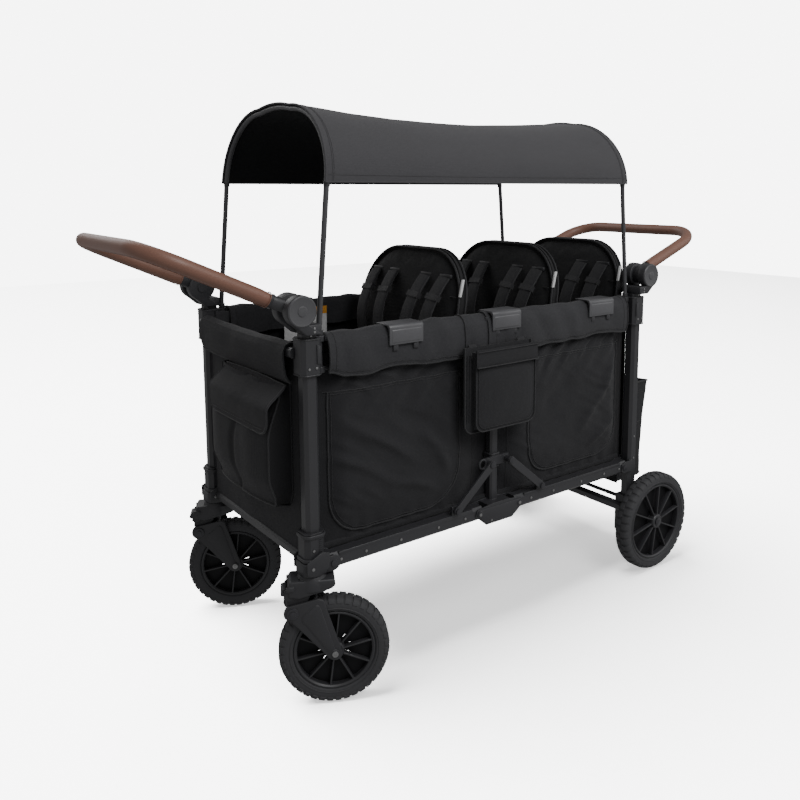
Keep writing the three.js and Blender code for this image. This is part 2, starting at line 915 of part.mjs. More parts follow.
// ---- canopy: a bent hoop at each end and one arched sheet over both ----
// Points of the arch over the eaves, for a half width, a top and a shoulder radius.
function archPoints(halfWidth, eaves, top, corner, steps = 7) {
  const points = [[-halfWidth, eaves]];
  const rise = Math.min(corner, top - eaves - 12);
  const crown = top - rise;
  for (let i = 0; i <= steps; i++) {
    const angle = (Math.PI / 2) * (i / steps);
    points.push([
      -halfWidth + corner * (1 - Math.cos(angle)),
      crown - 8 + rise * Math.sin(angle),
    ]);
  }
  points.push([0, top]);
  const mirrored = points.slice(0, -1).reverse();
  return points.concat(mirrored.map(([y, z]) => [-y, z]));
}

function hoopPath(end) {
  const inset = canopyThickness + poleRadius + 0.6;
  const arch = archPoints(canopyHalfWidth - inset, canopyEaves, canopyTop - inset, canopyCorner - inset);
  const lean = (z) =>
    end.x *
    (canopyX - 8 - ((canopyX - canopyApexX) * (z - canopyEaves)) / (canopyTop - canopyEaves));
  const pole = (y) => [
    new THREE.Vector3(end.x * poleX, y, poleFoot),
    new THREE.Vector3(end.x * poleX, y, clipTop),
    new THREE.Vector3(end.x * poleX, y, clipTop + 12),
  ];
  const points = [
    ...pole(-poleY),
    ...arch.map(([y, z]) => new THREE.Vector3(lean(z), y, z)),
    ...pole(poleY).reverse(),
  ];
  const path = new THREE.CurvePath();
  for (let i = 1; i < points.length; i++) path.add(new THREE.LineCurve3(points[i - 1], points[i]));
  return path;
}

for (const end of ends)
  place("canopy_hoop_" + end.name, roundAlong(hoopPath(end), poleRadius, hoopSteps, 6), paintedSteel);

// The sheet is a loft of arches that sags between the hoops, the same thickness all over.
function canopySheet() {
  const stations = 6;
  const rings = [];
  for (let i = 0; i <= stations; i++) {
    const t = (2 * i) / stations - 1;
    const top = canopyTop - canopySag * (1 - t * t);
    const outer = archPoints(canopyHalfWidth, canopyEaves, top, canopyCorner);
    const inner = archPoints(
      canopyHalfWidth - canopyThickness,
      canopyEaves,
      top - canopyThickness,
      canopyCorner - canopyThickness,
    );
    rings.push(
      outer.concat(inner.reverse()).map(([y, z]) => {
        const ease = (canopyX - canopyApexX) * ((z - canopyEaves) / (canopyTop - canopyEaves));
        return [t * (canopyX - ease), y, z];
      }),
    );
  }
  const count = rings[0].length;
  const index = [];
  for (let i = 0; i < stations; i++)
    for (let j = 0; j < count; j++) {
      const a = i * count + j;
      const b = i * count + ((j + 1) % count);
      index.push(a, b + count, b, a, a + count, b + count);
    }
  const half = count / 2;
  for (let j = 0; j < half - 1; j++) {
    const a = [j, j + 1, count - 2 - j, count - 1 - j];
    const shift = stations * count;
    index.push(a[0], a[1], a[2], a[0], a[2], a[3]);
    index.push(a[0] + shift, a[2] + shift, a[1] + shift, a[0] + shift, a[3] + shift, a[2] + shift);
  }
  const geometry = new THREE.BufferGeometry();
  geometry.setAttribute("position", new THREE.Float32BufferAttribute(rings.flat(2), 3));
  geometry.setIndex(index);
  return solid(geometry);
}

const sheet = canopySheet();
place("canopy_cover", sheet, canopyCloth);

// ---- fabric tub: floor and four walls in one piece, with the front pouch on it ----
const pouchDepth = 74;
const pouchY = [-205, 115];
const pouchZ = [455, 745];
const pouch = box(tubFront + 2, tubFront - pouchDepth, ...pouchY, ...pouchZ);
place(
  "tub",
  join(
    cut(
      box(tubFront, tubRear, -tubHalfWidth, tubHalfWidth, tubFloor, tubTop),
      box(
        tubFront + fabric,
        tubRear - fabric,
        -tubHalfWidth + fabric,
        tubHalfWidth - fabric,
        tubFloor + 12,
        tubTop + 1,
      ),
    ),
    pouch,
  ),
  blackCloth,
);

// ---- seats: a padded back with a rounded top and a bench in front of it ----
seatXs.forEach((x, i) => {
  const corner = 90;
  const lean = THREE.MathUtils.degToRad(seatLean);
  const length = (seatTop - benchTop + benchThickness - 4) / Math.cos(lean);
  const outline = new THREE.Shape();
  outline.moveTo(-seatHalfWidth, 0);
  outline.lineTo(seatHalfWidth, 0);
  outline.lineTo(seatHalfWidth, length - corner);
  outline.absarc(seatHalfWidth - corner, length - corner, corner, 0, Math.PI / 2, false);
  outline.lineTo(corner - seatHalfWidth, length);
  outline.absarc(corner - seatHalfWidth, length - corner, corner, Math.PI / 2, Math.PI, false);
  const back = flatExtrude(outline, seatThickness)
    .rotateX(Math.PI / 2)
    .rotateZ(Math.PI / 2)
    .rotateY(lean)
    .translate(x, 0, benchTop - benchThickness + 4);
  const bench = box(
    x - benchDepth,
    x + 8,
    -seatHalfWidth,
    seatHalfWidth,
    benchTop - benchThickness,
    benchTop,
  );
  place("seat_" + (i + 1), join(solid(back), bench), seatCloth);
});

// ---- bags: the side pocket on the left rail's middle and the basket behind the rear frame ----
const pocketX = [-133, 91];
const pocketY = [-postY - 66, -postY - 30];
const pocketZ = [567, 778];
place("side_pocket", box(...pocketX, ...pocketY, ...pocketZ), blackCloth);

const basketX = [postX + 22, postX + 162];
const basketHalfWidth = 196;
const basketZ = [240, 560];
const basketWall = 5;
const basketInner = basketHalfWidth - basketWall;
const basket = cut(
  box(...basketX, -basketHalfWidth, basketHalfWidth, ...basketZ),
  box(
    basketX[0] + basketWall,
    basketX[1] - basketWall,
    -basketInner,
    basketInner,
    basketZ[0] + basketWall,
    basketZ[1] + 1,
  ),
);
place("rear_basket", basket, blackCloth);

export default wagon;
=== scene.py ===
"""Looks of a folding six-seat pull wagon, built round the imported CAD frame.
Lengths in the shape code are millimetres in the CAD's axes: front is -X, the wagon's left is -Y.
In loops over SIDES and ENDS, y and sign are -1 for the left side and the front, 1 for the others."""
import json
from math import copysign, cos, exp, hypot, pi, radians, sin, sqrt, tan

import bmesh
import bpy
from mathutils import Matrix, Vector, noise


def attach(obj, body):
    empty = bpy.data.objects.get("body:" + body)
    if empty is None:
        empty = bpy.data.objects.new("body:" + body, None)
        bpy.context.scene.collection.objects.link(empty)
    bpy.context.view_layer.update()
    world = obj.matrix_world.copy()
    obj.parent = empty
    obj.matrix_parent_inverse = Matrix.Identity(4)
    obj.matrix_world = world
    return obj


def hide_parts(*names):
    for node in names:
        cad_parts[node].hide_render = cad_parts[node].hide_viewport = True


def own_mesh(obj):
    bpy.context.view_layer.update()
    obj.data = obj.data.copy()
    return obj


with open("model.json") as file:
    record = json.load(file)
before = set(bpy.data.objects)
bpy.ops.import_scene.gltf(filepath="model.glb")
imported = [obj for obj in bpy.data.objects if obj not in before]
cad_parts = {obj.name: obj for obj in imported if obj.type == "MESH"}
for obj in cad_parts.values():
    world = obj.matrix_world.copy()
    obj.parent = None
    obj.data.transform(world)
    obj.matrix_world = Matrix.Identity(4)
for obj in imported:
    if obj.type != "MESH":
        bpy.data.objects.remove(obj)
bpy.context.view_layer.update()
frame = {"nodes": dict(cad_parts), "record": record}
MM = 0.001
SIDES = (("left", -1), ("right", 1))
ENDS = (("front", -1), ("rear", 1))
POST_X, POST_Y, RAIL_Z = 555, 272, 330  # middle of the corner posts and of the bottom rails
POLE_X, POLE_Y, HINGE_X = 521, 266, 511  # canopy poles, and the rails' hinge pins at the corners

# ------------------------------------------------------------------ camera, light and floor
def linked(name, data):
    """A new object for data, in the scene."""
    made = bpy.data.objects.new(name, data)
    bpy.context.collection.objects.link(made)
    return made


def aim(obj, direction):
    obj.rotation_mode = "QUATERNION"
    obj.rotation_quaternion = Vector(direction).to_track_quat("-Z", "Y")


camera = linked("camera", bpy.data.cameras.new("camera"))
camera.location = (-1.3916, -1.8117, 1.1718)
azimuth, elevation = radians(-37.82), radians(7.48)
level = cos(elevation)
towards_camera = Vector((sin(azimuth) * level, -cos(azimuth) * level, sin(elevation)))
aim(camera, -towards_camera)
camera.data.sensor_width = 36
camera.data.lens = 36.28
camera.data.shift_x, camera.data.shift_y = -0.046, -0.1314
bpy.context.scene.camera = camera


def area_light(name, place, target, size, watts):
    data = bpy.data.lights.new(name, "AREA")
    data.size, data.energy = size, watts
    lamp = linked(name, data)
    lamp.location = place
    aim(lamp, Vector(target) - Vector(place))


area_light("key", (0.1, -2.9, 3.4), (0, 0, 0.5), 1.8, 92)
area_light("fill", (3.4, -2.4, 2.2), (0, 0, 0.6), 2.4, 26)
area_light("back", (-0.6, 3.2, 3.0), (0, 0, 0.7), 2.4, 45)
world = bpy.data.worlds.new("studio")
bpy.context.scene.world = world
world.use_nodes = True
links, nodes = world.node_tree.links, world.node_tree.nodes
nodes["Background"].inputs["Strength"].default_value = 0.38
backdrop = nodes.new("ShaderNodeBackground")
backdrop.inputs["Strength"].default_value = 7.0
chooser, ray = nodes.new("ShaderNodeMixShader"), nodes.new("ShaderNodeLightPath")
for each in (nodes["Background"], backdrop):
    each.inputs["Color"].default_value = (1, 1, 1, 1)
links.new(ray.outputs["Is Camera Ray"], chooser.inputs["Fac"])
links.new(nodes["Background"].outputs["Background"], chooser.inputs[1])
links.new(backdrop.outputs["Background"], chooser.inputs[2])
links.new(chooser.outputs["Shader"], nodes["World Output"].inputs["Surface"])


# ------------------------------------------------------------------ materials
def node(tree, kind, **values):
    made = tree.nodes.new(kind)
    for key, value in values.items():
        if key in made.inputs:
            made.inputs[key].default_value = value
        else:
            setattr(made, key, value)
    return made


def mixed(tree, blend, factor, first, second):
    """A colour mix node; each input is a socket or a value."""
    mix = node(tree, "ShaderNodeMix", data_type="RGBA", blend_type=blend)
    for index, value in ((0, factor), (6, first), (7, second)):
        if isinstance(value, bpy.types.NodeSocket):
            tree.links.new(value, mix.inputs[index])
        else:
            mix.inputs[index].default_value = value
    return mix.outputs[2]


def ranged(tree, factor, **ends):
    ramp = node(tree, "ShaderNodeMapRange", **ends)
    tree.links.new(factor, ramp.inputs["Value"])
    return ramp.outputs["Result"]


def weave(tree, at, size):
    """Threads along the three axes: on any face two of the three sets show."""
    total = None
    for axis in "XYZ":
        wave = node(tree, "ShaderNodeTexWave", wave_type="BANDS", bands_direction=axis,
                    **{"Scale": 1 / (size * MM) / 3.18, "Distortion": 0.4, "Detail Scale": 3.0})
        tree.links.new(at, wave.inputs["Vector"])
        if total is None:
            total = wave.outputs["Fac"]
            continue
        add = node(tree, "ShaderNodeMath", operation="ADD")
        tree.links.new(total, add.inputs[0])
        tree.links.new(wave.outputs["Fac"], add.inputs[1])
        total = add.outputs["Value"]
    return total


def surface(name, colour, rough, tone=0.12, relief=(), sheen=0.0, metal=0.0, wear_and_highlight=None, edge=0.0, spec=0.5):
    """A procedural finish. tone: share the colour varies by in broad patches. relief: rows of
    (kind, size in mm, height in mm). wear: a lighter colour for all rounded edges, for scuffs and a painted
    highlight. edge: rounding of hard edges, in mm."""
    m = bpy.data.materials.new(name)
    m.use_nodes = True
    t = m.node_tree
    shader = t.nodes["Principled BSDF"]
    values = {"Metallic": metal, "Sheen Weight": sheen, "Sheen Roughness": 0.6, "Specular IOR Level": spec}
    for key, value in values.items():
        shader.inputs[key].default_value = value
    at = node(t, "ShaderNodeTexCoord").outputs["Object"]
    broad = node(t, "ShaderNodeTexNoise", Scale=9.0, Detail=5.0, Roughness=0.6)
    fine = node(t, "ShaderNodeTexNoise", Scale=420.0, Detail=2.0)
    for texture in (broad, fine):
        t.links.new(at, texture.inputs["Vector"])
    dark, light = ([min(1, c * share) for c in colour] + [1] for share in (1 - tone, 1 + tone))
    patchy = mixed(t, "MIX", broad.outputs["Fac"], dark, light)
    grained = mixed(t, "MULTIPLY", 0.35, patchy, fine.outputs["Fac"])
    colour_out = mixed(t, "MULTIPLY", 1.0, grained, (1.2, 1.2, 1.2, 1))
    rough_ends = {"To Min": rough - 0.07, "To Max": min(1, rough + 0.07)}
    t.links.new(ranged(t, broad.outputs["Fac"], **rough_ends), shader.inputs["Roughness"])

    normal = None
    if edge:
        normal = node(t, "ShaderNodeBevel", Radius=edge * MM, samples=4).outputs["Normal"]
        # every rounded edge gets a lighter colour: partly scuffs, partly a painted highlight
        if wear_and_highlight:
            dot = node(t, "ShaderNodeVectorMath", operation="DOT_PRODUCT")
            t.links.new(normal, dot.inputs[0])
            t.links.new(node(t, "ShaderNodeNewGeometry").outputs["Normal"], dot.inputs[1])
            wear_and_highlight_mask = ranged(t, dot.outputs["Value"], **{"From Min": 0.995, "From Max": 0.8, "To Max": 0.5})
            colour_out = mixed(t, "MIX", wear_and_highlight_mask, colour_out, (*wear_and_highlight, 1))
    t.links.new(colour_out, shader.inputs["Base Color"])
    for kind, size, height in relief:
        if kind == "weave":
            raised = weave(t, at, size)
        elif kind == "cells":
            cells = node(t, "ShaderNodeTexVoronoi", Scale=1 / (size * MM), feature="F1")
            t.links.new(at, cells.inputs["Vector"])
            raised = cells.outputs["Distance"]
        else:
            bumps = node(t, "ShaderNodeTexNoise", Scale=1 / (size * MM), Detail=4.0)
            t.links.new(at, bumps.inputs["Vector"])
            raised = bumps.outputs["Fac"]
        bump = node(t, "ShaderNodeBump", Strength=1.0, Distance=height * MM)
        t.links.new(raised, bump.inputs["Height"])
        if normal:
            t.links.new(normal, bump.inputs["Normal"])
        normal = bump.outputs["Normal"]
    if normal:
        t.links.new(normal, shader.inputs["Normal"])
    return m


def hard(name, colour, rough, grain, worn_and_highlit, edge, **more):
    """Metal or plastic; grain is the size and height of its noise, worn the lighter grey of its
    rounded edges: scuffs and a painted highlight.
    """
    wear_and_highlight = worn_and_highlit and (worn_and_highlit[0], worn_and_highlit[0], worn_and_highlit[1])
    return surface(name, colour, rough, relief=[("noise", *grain)], wear_and_highlight=wear_and_highlight, edge=edge, **more)


def woven(name, colour, rough, thread, drape=None, sheen=0.0, spec=0.22, **more):
    """Cloth; thread is the size and height of its weave, drape those of its soft unevenness."""
    relief = [("weave", *thread)] + ([("noise", *drape)] if drape else [])
    return surface(name, colour, rough, relief=relief, sheen=sheen, spec=spec, **more)


# the second grey pair in each row lightens the rounded edges: scuffs and a painted highlight
STEEL = hard("powder_coated_steel", (0.030, 0.030, 0.033), 0.42, (1.6, 0.05), (0.09, 0.095), 1.6)
POLE = hard("pole_steel", (0.050, 0.050, 0.054), 0.4, (1.6, 0.04), (0.1, 0.105), 1.0)
PLASTIC = hard("moulded_plastic", (0.026, 0.026, 0.029), 0.5, (0.9, 0.06), (0.07, 0.075), 1.5)
SMOOTH_PLASTIC = hard("smooth_grey_plastic", (0.075, 0.075, 0.08), 0.4, (2.5, 0.03), (0.2, 0.21), 1.2)
TYRE = hard("tyre_rubber", (0.040, 0.040, 0.043), 0.78, (2.0, 0.15), (0.06, 0.062), 1.2, tone=0.25)
WHEEL = hard("wheel_plastic", (0.030, 0.030, 0.033), 0.45, (1.2, 0.05), (0.06, 0.065), 1.2)
# a near-black copy of the wheel plastic for the recessed web: painted shade
SHADED_WEB = hard("wheel_web_painted_shade", (0.006, 0.006, 0.007), 0.6, (1.2, 0.05), None, 1.0, spec=0.25)
HUB_CAP = hard("hub_cap_plastic", (0.062, 0.062, 0.066), 0.45, (2.0, 0.04), (0.13, 0.135), 1.2)
BOLT = hard("zinc_bolt", (0.30, 0.30, 0.30), 0.35, (3.0, 0.04), None, 0.0, metal=0.9)
DARK_BOLT = hard("black_bolt", (0.05, 0.05, 0.055), 0.35, (3.0, 0.04), None, 0.0, metal=0.5)
LEATHER = surface("brown_leather", (0.190, 0.092, 0.064), 0.48, tone=0.18,
                  relief=[("cells", 1.7, 0.12), ("noise", 12, 0.25)])
CLOTH = woven("black_oxford_cloth", (0.0165, 0.0165, 0.0185), 0.82, (1.5, 0.14), (16, 0.5), 0.06, tone=0.16)
# a darker copy of the black cloth: lining on inner faces, floors and the basket foot, and painted shade on the
# pouch's sides
LINING_AND_SHADE = woven("black_lining_and_painted_shade", (0.010, 0.010, 0.011), 0.9, (1.5, 0.12), sheen=0.03)
# a lighter copy of the black cloth for the side sleeves: painted highlight on the lit rail tops
HIGHLIT_SLEEVE = woven("padded_sleeve_cloth_painted_highlight", (0.026, 0.026, 0.029), 0.74, (1.5, 0.14), (14, 0.7), 0.08, tone=0.16)
CANOPY = woven("canopy_cloth", (0.050, 0.049, 0.053), 0.8, (1.3, 0.1), sheen=0.08, tone=0.08)
CANOPY_IN = woven("canopy_lining", (0.012, 0.012, 0.013), 0.9, (1.3, 0.1))
SEAT = woven("seat_cloth", (0.012, 0.012, 0.013), 0.85, (1.6, 0.16), (20, 0.6), 0.05)
PAD = woven("strap_pad_cloth", (0.020, 0.020, 0.022), 0.8, (1.4, 0.16), (9, 0.4), 0.06)
WEBBING = woven("webbing", (0.018, 0.018, 0.020), 0.7, (2.2, 0.3), sheen=0.08)
PIPING = woven("piping", (0.019, 0.019, 0.021), 0.6, (1.2, 0.12), sheen=0.1)
TAG = woven("white_tag", (0.62, 0.62, 0.62), 0.8, (1.2, 0.1), tone=0.05, spec=0.5)
ORANGE = woven("orange_print", (0.75, 0.33, 0.04), 0.7, (1.2, 0.1), tone=0.05, spec=0.5)
FLOOR = surface("pale_floor", (0.86, 0.86, 0.86), 0.9, tone=0.01, relief=[("noise", 30, 0.05)], spec=0)
FLOOR.node_tree.nodes["Principled BSDF"].inputs["Emission Color"].default_value = (1, 1, 1, 1)
FLOOR.node_tree.nodes["Principled BSDF"].inputs["Emission Strength"].default_value = 0.75


# ------------------------------------------------------------------ shape helpers
def bm_of(verts, faces):
    bm = bmesh.new()
    vs = [bm.verts.new(v) for v in verts]
    for f in faces:
        bm.faces.new([vs[i] for i in f])
    bmesh.ops.recalc_face_normals(bm, faces=bm.faces)
    return bm


def soften(bm, width, segments=2, angle=30):
    """Rounds every edge sharper than angle."""
    edges = [e for e in bm.edges if len(e.link_faces) == 2 and e.calc_face_angle(0) > radians(angle)]
    bmesh.ops.bevel(bm, geom=edges, offset=width, segments=segments, profile=0.5, affect="EDGES", clamp_overlap=True)
    return bm


def block(x0, x1, y0, y1, z0, z1, r=1.5, segments=2):
    bm = bmesh.new()
    bmesh.ops.create_cube(bm, size=1)
    for v in bm.verts:
        v.co = [(a + b) / 2 + c * abs(b - a) for c, a, b in zip(v.co, (x0, y0, z0), (x1, y1, z1))]
    return soften(bm, r, segments) if r else bm


def prism(outline, low, high, axis="y", r=1.0, segments=2, angle=30):
    """An outline made thick between low and high along axis; its two numbers are the other axes in order."""
    def point(a, b, c):
        return {"y": (a, c, b), "z": (a, b, c), "x": (c, a, b)}[axis]
    n = len(outline)
    verts = [point(a, b, low) for a, b in outline] + [point(a, b, high) for a, b in outline]
    faces = [tuple(range(n)), tuple(range(n, 2 * n))] + [(i, (i + 1) % n, n + (i + 1) % n, n + i) for i in range(n)]
    bm = bm_of(verts, faces)
    return soften(bm, r, segments, angle) if r else bm


def shares(n):
    return [i / n for i in range(n + 1)]


def angles(n):
    return [2 * pi * i / n for i in range(n)]


def arc(cx, cy, r, a0, a1, n=8):
    turns = [radians(a0 + (a1 - a0) * i / n) for i in range(n + 1)]
    return [(cx + r * cos(a), cy + r * sin(a)) for a in turns]


def along(points, share):
    """The point at a share of the way through a list of points."""
    i = min(len(points) - 2, int(share * (len(points) - 1)))
    f = share * (len(points) - 1) - i
    return [a + (b - a) * f for a, b in zip(points[i], points[i + 1])]


def drawn_in(r, over):
    """How far a side with a rounded corner of radius r stands in, at over from the corner's foot."""
    return r - sqrt(max(0, r * r - (r - over) ** 2)) if over < r else 0


def drift(a, b, c):
    return noise.noise((a, b, c))


def ease(a, b, x):
    t = min(1, max(0, (x - a) / (b - a)))
    return t * t * (3 - 2 * t)


def ring(r, n=10, squeeze=1.0):
    return [(r * cos(a), r * squeeze * sin(a)) for a in angles(n)]


def disc(x, y, z, r, low, high, axis="y", n=32, bevel=1.2):
    """A round boss round the point, from low to high along axis."""
    centre = {"y": (x, z), "z": (x, y), "x": (y, z)}[axis]
    return prism([(centre[0] + a, centre[1] + b) for a, b in ring(r, n)], low, high, axis, r=bevel, angle=50)


def octagon(a, b):
    """A square of half width a with its corners cut to half width b."""
    return [(-a, -b), (-b, -a), (b, -a), (a, -b), (a, b), (b, a), (-b, a), (-a, b)]


def sweep(points, section, closed=False, caps=True, up=None):
    """Carries a section, a list of (side, up) pairs or a function of the share along, down a path."""
    pts = [Vector(p) for p in points]
    n = len(pts)
    if closed:
        tangent = [(pts[(i + 1) % n] - pts[i - 1]).normalized() for i in range(n)]
    else:
        tangent = [(pts[min(i + 1, n - 1)] - pts[max(i - 1, 0)]).normalized() for i in range(n)]
    normal = Vector(up) if up else (Vector((0, 0, 1)) if abs(tangent[0].z) < 0.9 else Vector((1, 0, 0)))
    verts = []
    count = 0
    for i, (p, t) in enumerate(zip(pts, tangent)):
        if not up and i:
            normal = tangent[i - 1].rotation_difference(t) @ normal
        keep = normal - t * normal.dot(t)
        side = t.cross(keep).normalized()
        over = side.cross(t).normalized()
        outline = section(i / max(1, n - 1)) if callable(section) else section
        count = len(outline)
        verts += [p + side * a + over * b for a, b in outline]
    faces = []
    for i in range(n if closed else n - 1):
        for j in range(count):
            a, b = i * count + j, i * count + (j + 1) % count
            c, d = ((i + 1) % n) * count + (j + 1) % count, ((i + 1) % n) * count + j
            faces.append((a, b, c, d))
    if caps and not closed:
        faces += [tuple(range(count)), tuple(range((n - 1) * count, n * count))]
    return bm_of(verts, faces)


def rounded(value, power):
    return copysign(abs(value) ** power, value)


def band(width, thick):
    a, b = width / 2, thick / 2
    return [(-a, -b), (a, -b), (a, b), (-a, b)]


def cord_along(points, r, n=8, closed=False):
    return sweep(points, ring(r, n), closed)


def belt(x, y, z, a, b, section):
    """A closed band round an eight-sided post at height z."""
    pts = [Vector((x + p, y + q, z)) for p, q in octagon(a, b)]
    line = [p.lerp(pts[(i + 1) % 8], t) for i, p in enumerate(pts) for t in (0.1, 0.5, 0.9)]
    return sweep(line, section, closed=True, up=(0, 0, 1))


def turned(profile, centre, n=48, axis="y", start=0.0, turn=360.0):
    """Turns (radius, along) pairs round an axis through centre."""
    verts, faces = [], []
    full = turn >= 360
    rows = n if full else n + 1
    k = len(profile)
    for i in range(rows):
        a = radians(start + turn * i / n)
        for rad, far in profile:
            across, over = rad * cos(a), rad * sin(a)
            verts.append(Vector(centre) + Vector((across, far, over) if axis == "y" else (across, over, far)))
    for i in range(n):
        here, after = i * k, ((i + 1) % rows) * k
        faces += [(here + j, here + (j + 1) % k, after + (j + 1) % k, after + j) for j in range(k)]
    if not full:
        faces += [tuple(range(k)), tuple(range((rows - 1) * k, rows * k))]
    return bm_of(verts, faces)


def grid(fn, nu, nv, thick=0.0, outward=None):
    """A sheet through fn(u, v), u and v from 0 to 1, made thick along its own normals."""
    pts = [[Vector(fn(i / nu, j / nv)) for j in range(nv + 1)] for i in range(nu + 1)]
    flat = [p for row in pts for p in row]
    k = nv + 1
    faces = [(i * k + j, (i + 1) * k + j, (i + 1) * k + j + 1, i * k + j + 1) for i in range(nu) for j in range(nv)]
    bm = bm_of(flat, faces)
    if thick:
        bm.normal_update()
        bm.verts.ensure_lookup_table()
        normals = [v.normal.copy() for v in bm.verts]
        if outward is not None and sum(n.dot(Vector(outward)) for n in normals) < 0:
            normals = [-n for n in normals]
        bm.free()
        m = len(flat)
        back = [p - n * thick for p, n in zip(flat, normals)]
        rim = [(i, 0) for i in range(nu)] + [(nu, j) for j in range(nv)]
        rim += [(i, nv) for i in range(nu, 0, -1)] + [(0, j) for j in range(nv, 0, -1)]
        loop = [i * k + j for i, j in rim]
        faces2 = faces + [tuple(m + i for i in reversed(f)) for f in faces]
        faces2 += [(loop[a - 1], loop[a], m + loop[a], m + loop[a - 1]) for a in range(len(loop))]
        bm = bm_of(flat + back, faces2)
    return bm


class Piece:
    """Collects shapes and their finishes into one named object."""

    def __init__(self, name):
        self.name, self.mesh, self.bm, self.finishes = name, bpy.data.meshes.new(name), bmesh.new(), []

    def add(self, bm, finish, matrix=None, inside=None):
        """inside: a second finish, and the test that picks the faces that get it."""
        if finish not in self.finishes:
            self.finishes.append(finish)
        for f in bm.faces:
            f.material_index = self.finishes.index(finish)
            f.smooth = True
        if inside:
            other, test = inside
            if other not in self.finishes:
                self.finishes.append(other)
            bm.normal_update()
            for f in bm.faces:
                if test(f):
                    f.material_index = self.finishes.index(other)
        if matrix:
            bmesh.ops.transform(bm, matrix=matrix, verts=bm.verts)
        part = bpy.data.meshes.new("part")
        bm.to_mesh(part)
        bm.free()
        self.bm.from_mesh(part)
        bpy.data.meshes.remove(part)
        return self

    def seam(self, points, r, n=8):
        return self.add(cord_along(points, r, n), PIPING)

    def bolt(self, x, z, r, low, high, n=16, bevel=0.8, finish=BOLT, matrix=None):
        """A round head on the axis across the wagon, from low to high."""
        return self.add(disc(x, 0, z, r, low, high, n=n, bevel=bevel), finish, matrix)

    def done(self, body, slot, *nodes, sharp=38):
        bmesh.ops.transform(self.bm, matrix=Matrix.Scale(MM, 4), verts=self.bm.verts)
        self.bm.to_mesh(self.mesh)
        self.bm.free()
        for finish in self.finishes:
            self.mesh.materials.append(finish)
        self.mesh.set_sharp_from_angle(angle=radians(sharp))
        self.object = linked(self.name, self.mesh)
        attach(self.object, body)
        if nodes:
            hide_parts(*nodes)
        return self.object


def squash(obj):
    """Gives the object its own copy of its mesh."""
    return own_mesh(obj)


def wrinkle(x, z, seed=0.0, scale=1.0):
    """Cloth creases: broad sags and finer diagonal folds, about -1 to 1."""
    a = drift(x * 0.006 * scale + seed, z * 0.008 * scale, seed)
    d = (x * 0.55 + z) * 0.030 * scale
    e = (x * 1.2 - z * 0.6) * 0.006 * scale
    b = 1 - abs(drift(d, e + seed, 3.1 + seed)) * 2.2
    c = drift(x * 0.02 * scale, z * 0.03 * scale, 7.7 + seed)
    return 0.55 * a + 0.35 * b * (0.5 + a) + 0.25 * c


# ------------------------------------------------------------------ floor
floor = Piece("floor")
floor.add(block(-9000, 9000, -9000, 9000, -40, -1, r=0), FLOOR)
bmesh.ops.transform(floor.bm, matrix=Matrix.Scale(MM, 4), verts=floor.bm.verts)
floor.bm.to_mesh(floor.mesh)
floor.mesh.materials.append(FLOOR)
floor_object = linked("floor", floor.mesh)
floor_object.visible_diffuse = floor_object.visible_glossy = False
# a broad lamp that lights the floor alone, so the floor is white and the wagon's shadow soft
lit = bpy.data.collections.new("lit_by_floor_lamp")
lit.objects.link(floor_object)
sun = linked("floor_lamp", bpy.data.lights.new("floor_lamp", "SUN"))
sun.data.energy, sun.data.angle = 24.0, radians(50)
aim(sun, (0.34, -0.30, -1))
sun.light_linking.receiver_collection = lit

# ------------------------------------------------------------------ finishes of the CAD nodes that stay
FINISH = {"frame_steel": STEEL, "moulded_plastic": PLASTIC, "tyre_foam": TYRE, "wheel_plastic": WHEEL,
          "brown_leather": LEATHER, "black_cloth": CLOTH, "canopy_cloth": CANOPY, "seat_cloth": SEAT}
slots = {row["node"]: row["material_slot"] for row in frame["record"]["subparts"]}
for name, obj in frame["nodes"].items():
    obj.data.materials.clear()
    obj.data.materials.append(FINISH[slots[name]])

# ------------------------------------------------------------------ handles: leather wrap, end sockets, hub discs
PIVOT_X, PIVOT_Z, ARM_Y, REACH, BEND = 585, 915, 252, 337, 95
TILT = {"front": 24.6, "rear": 20.7}
HUB_FOOT = 861.5


def u_path(start, reach, half, bend, steps=14):
    straight, across = reach - bend, 2 * half - 2 * bend
    pts = [(start + (straight - start) * i / 8, -half) for i in range(8)]
    pts += arc(straight, bend - half, bend, -90, 0, steps)
    pts += [(reach, -half + bend + across * i / 10) for i in range(1, 10)]
    return pts + [(x, -y) for x, y in reversed(pts[: 8 + steps + 1])]


def handle_frame(name, sign):
    tilt = -sign * radians(TILT[name])
    hinge = Matrix.Translation((sign * PIVOT_X, 0, PIVOT_Z)) @ Matrix.Rotation(tilt, 4, "Y")
    return hinge @ Matrix.Scale(sign, 4, (1, 0, 0))


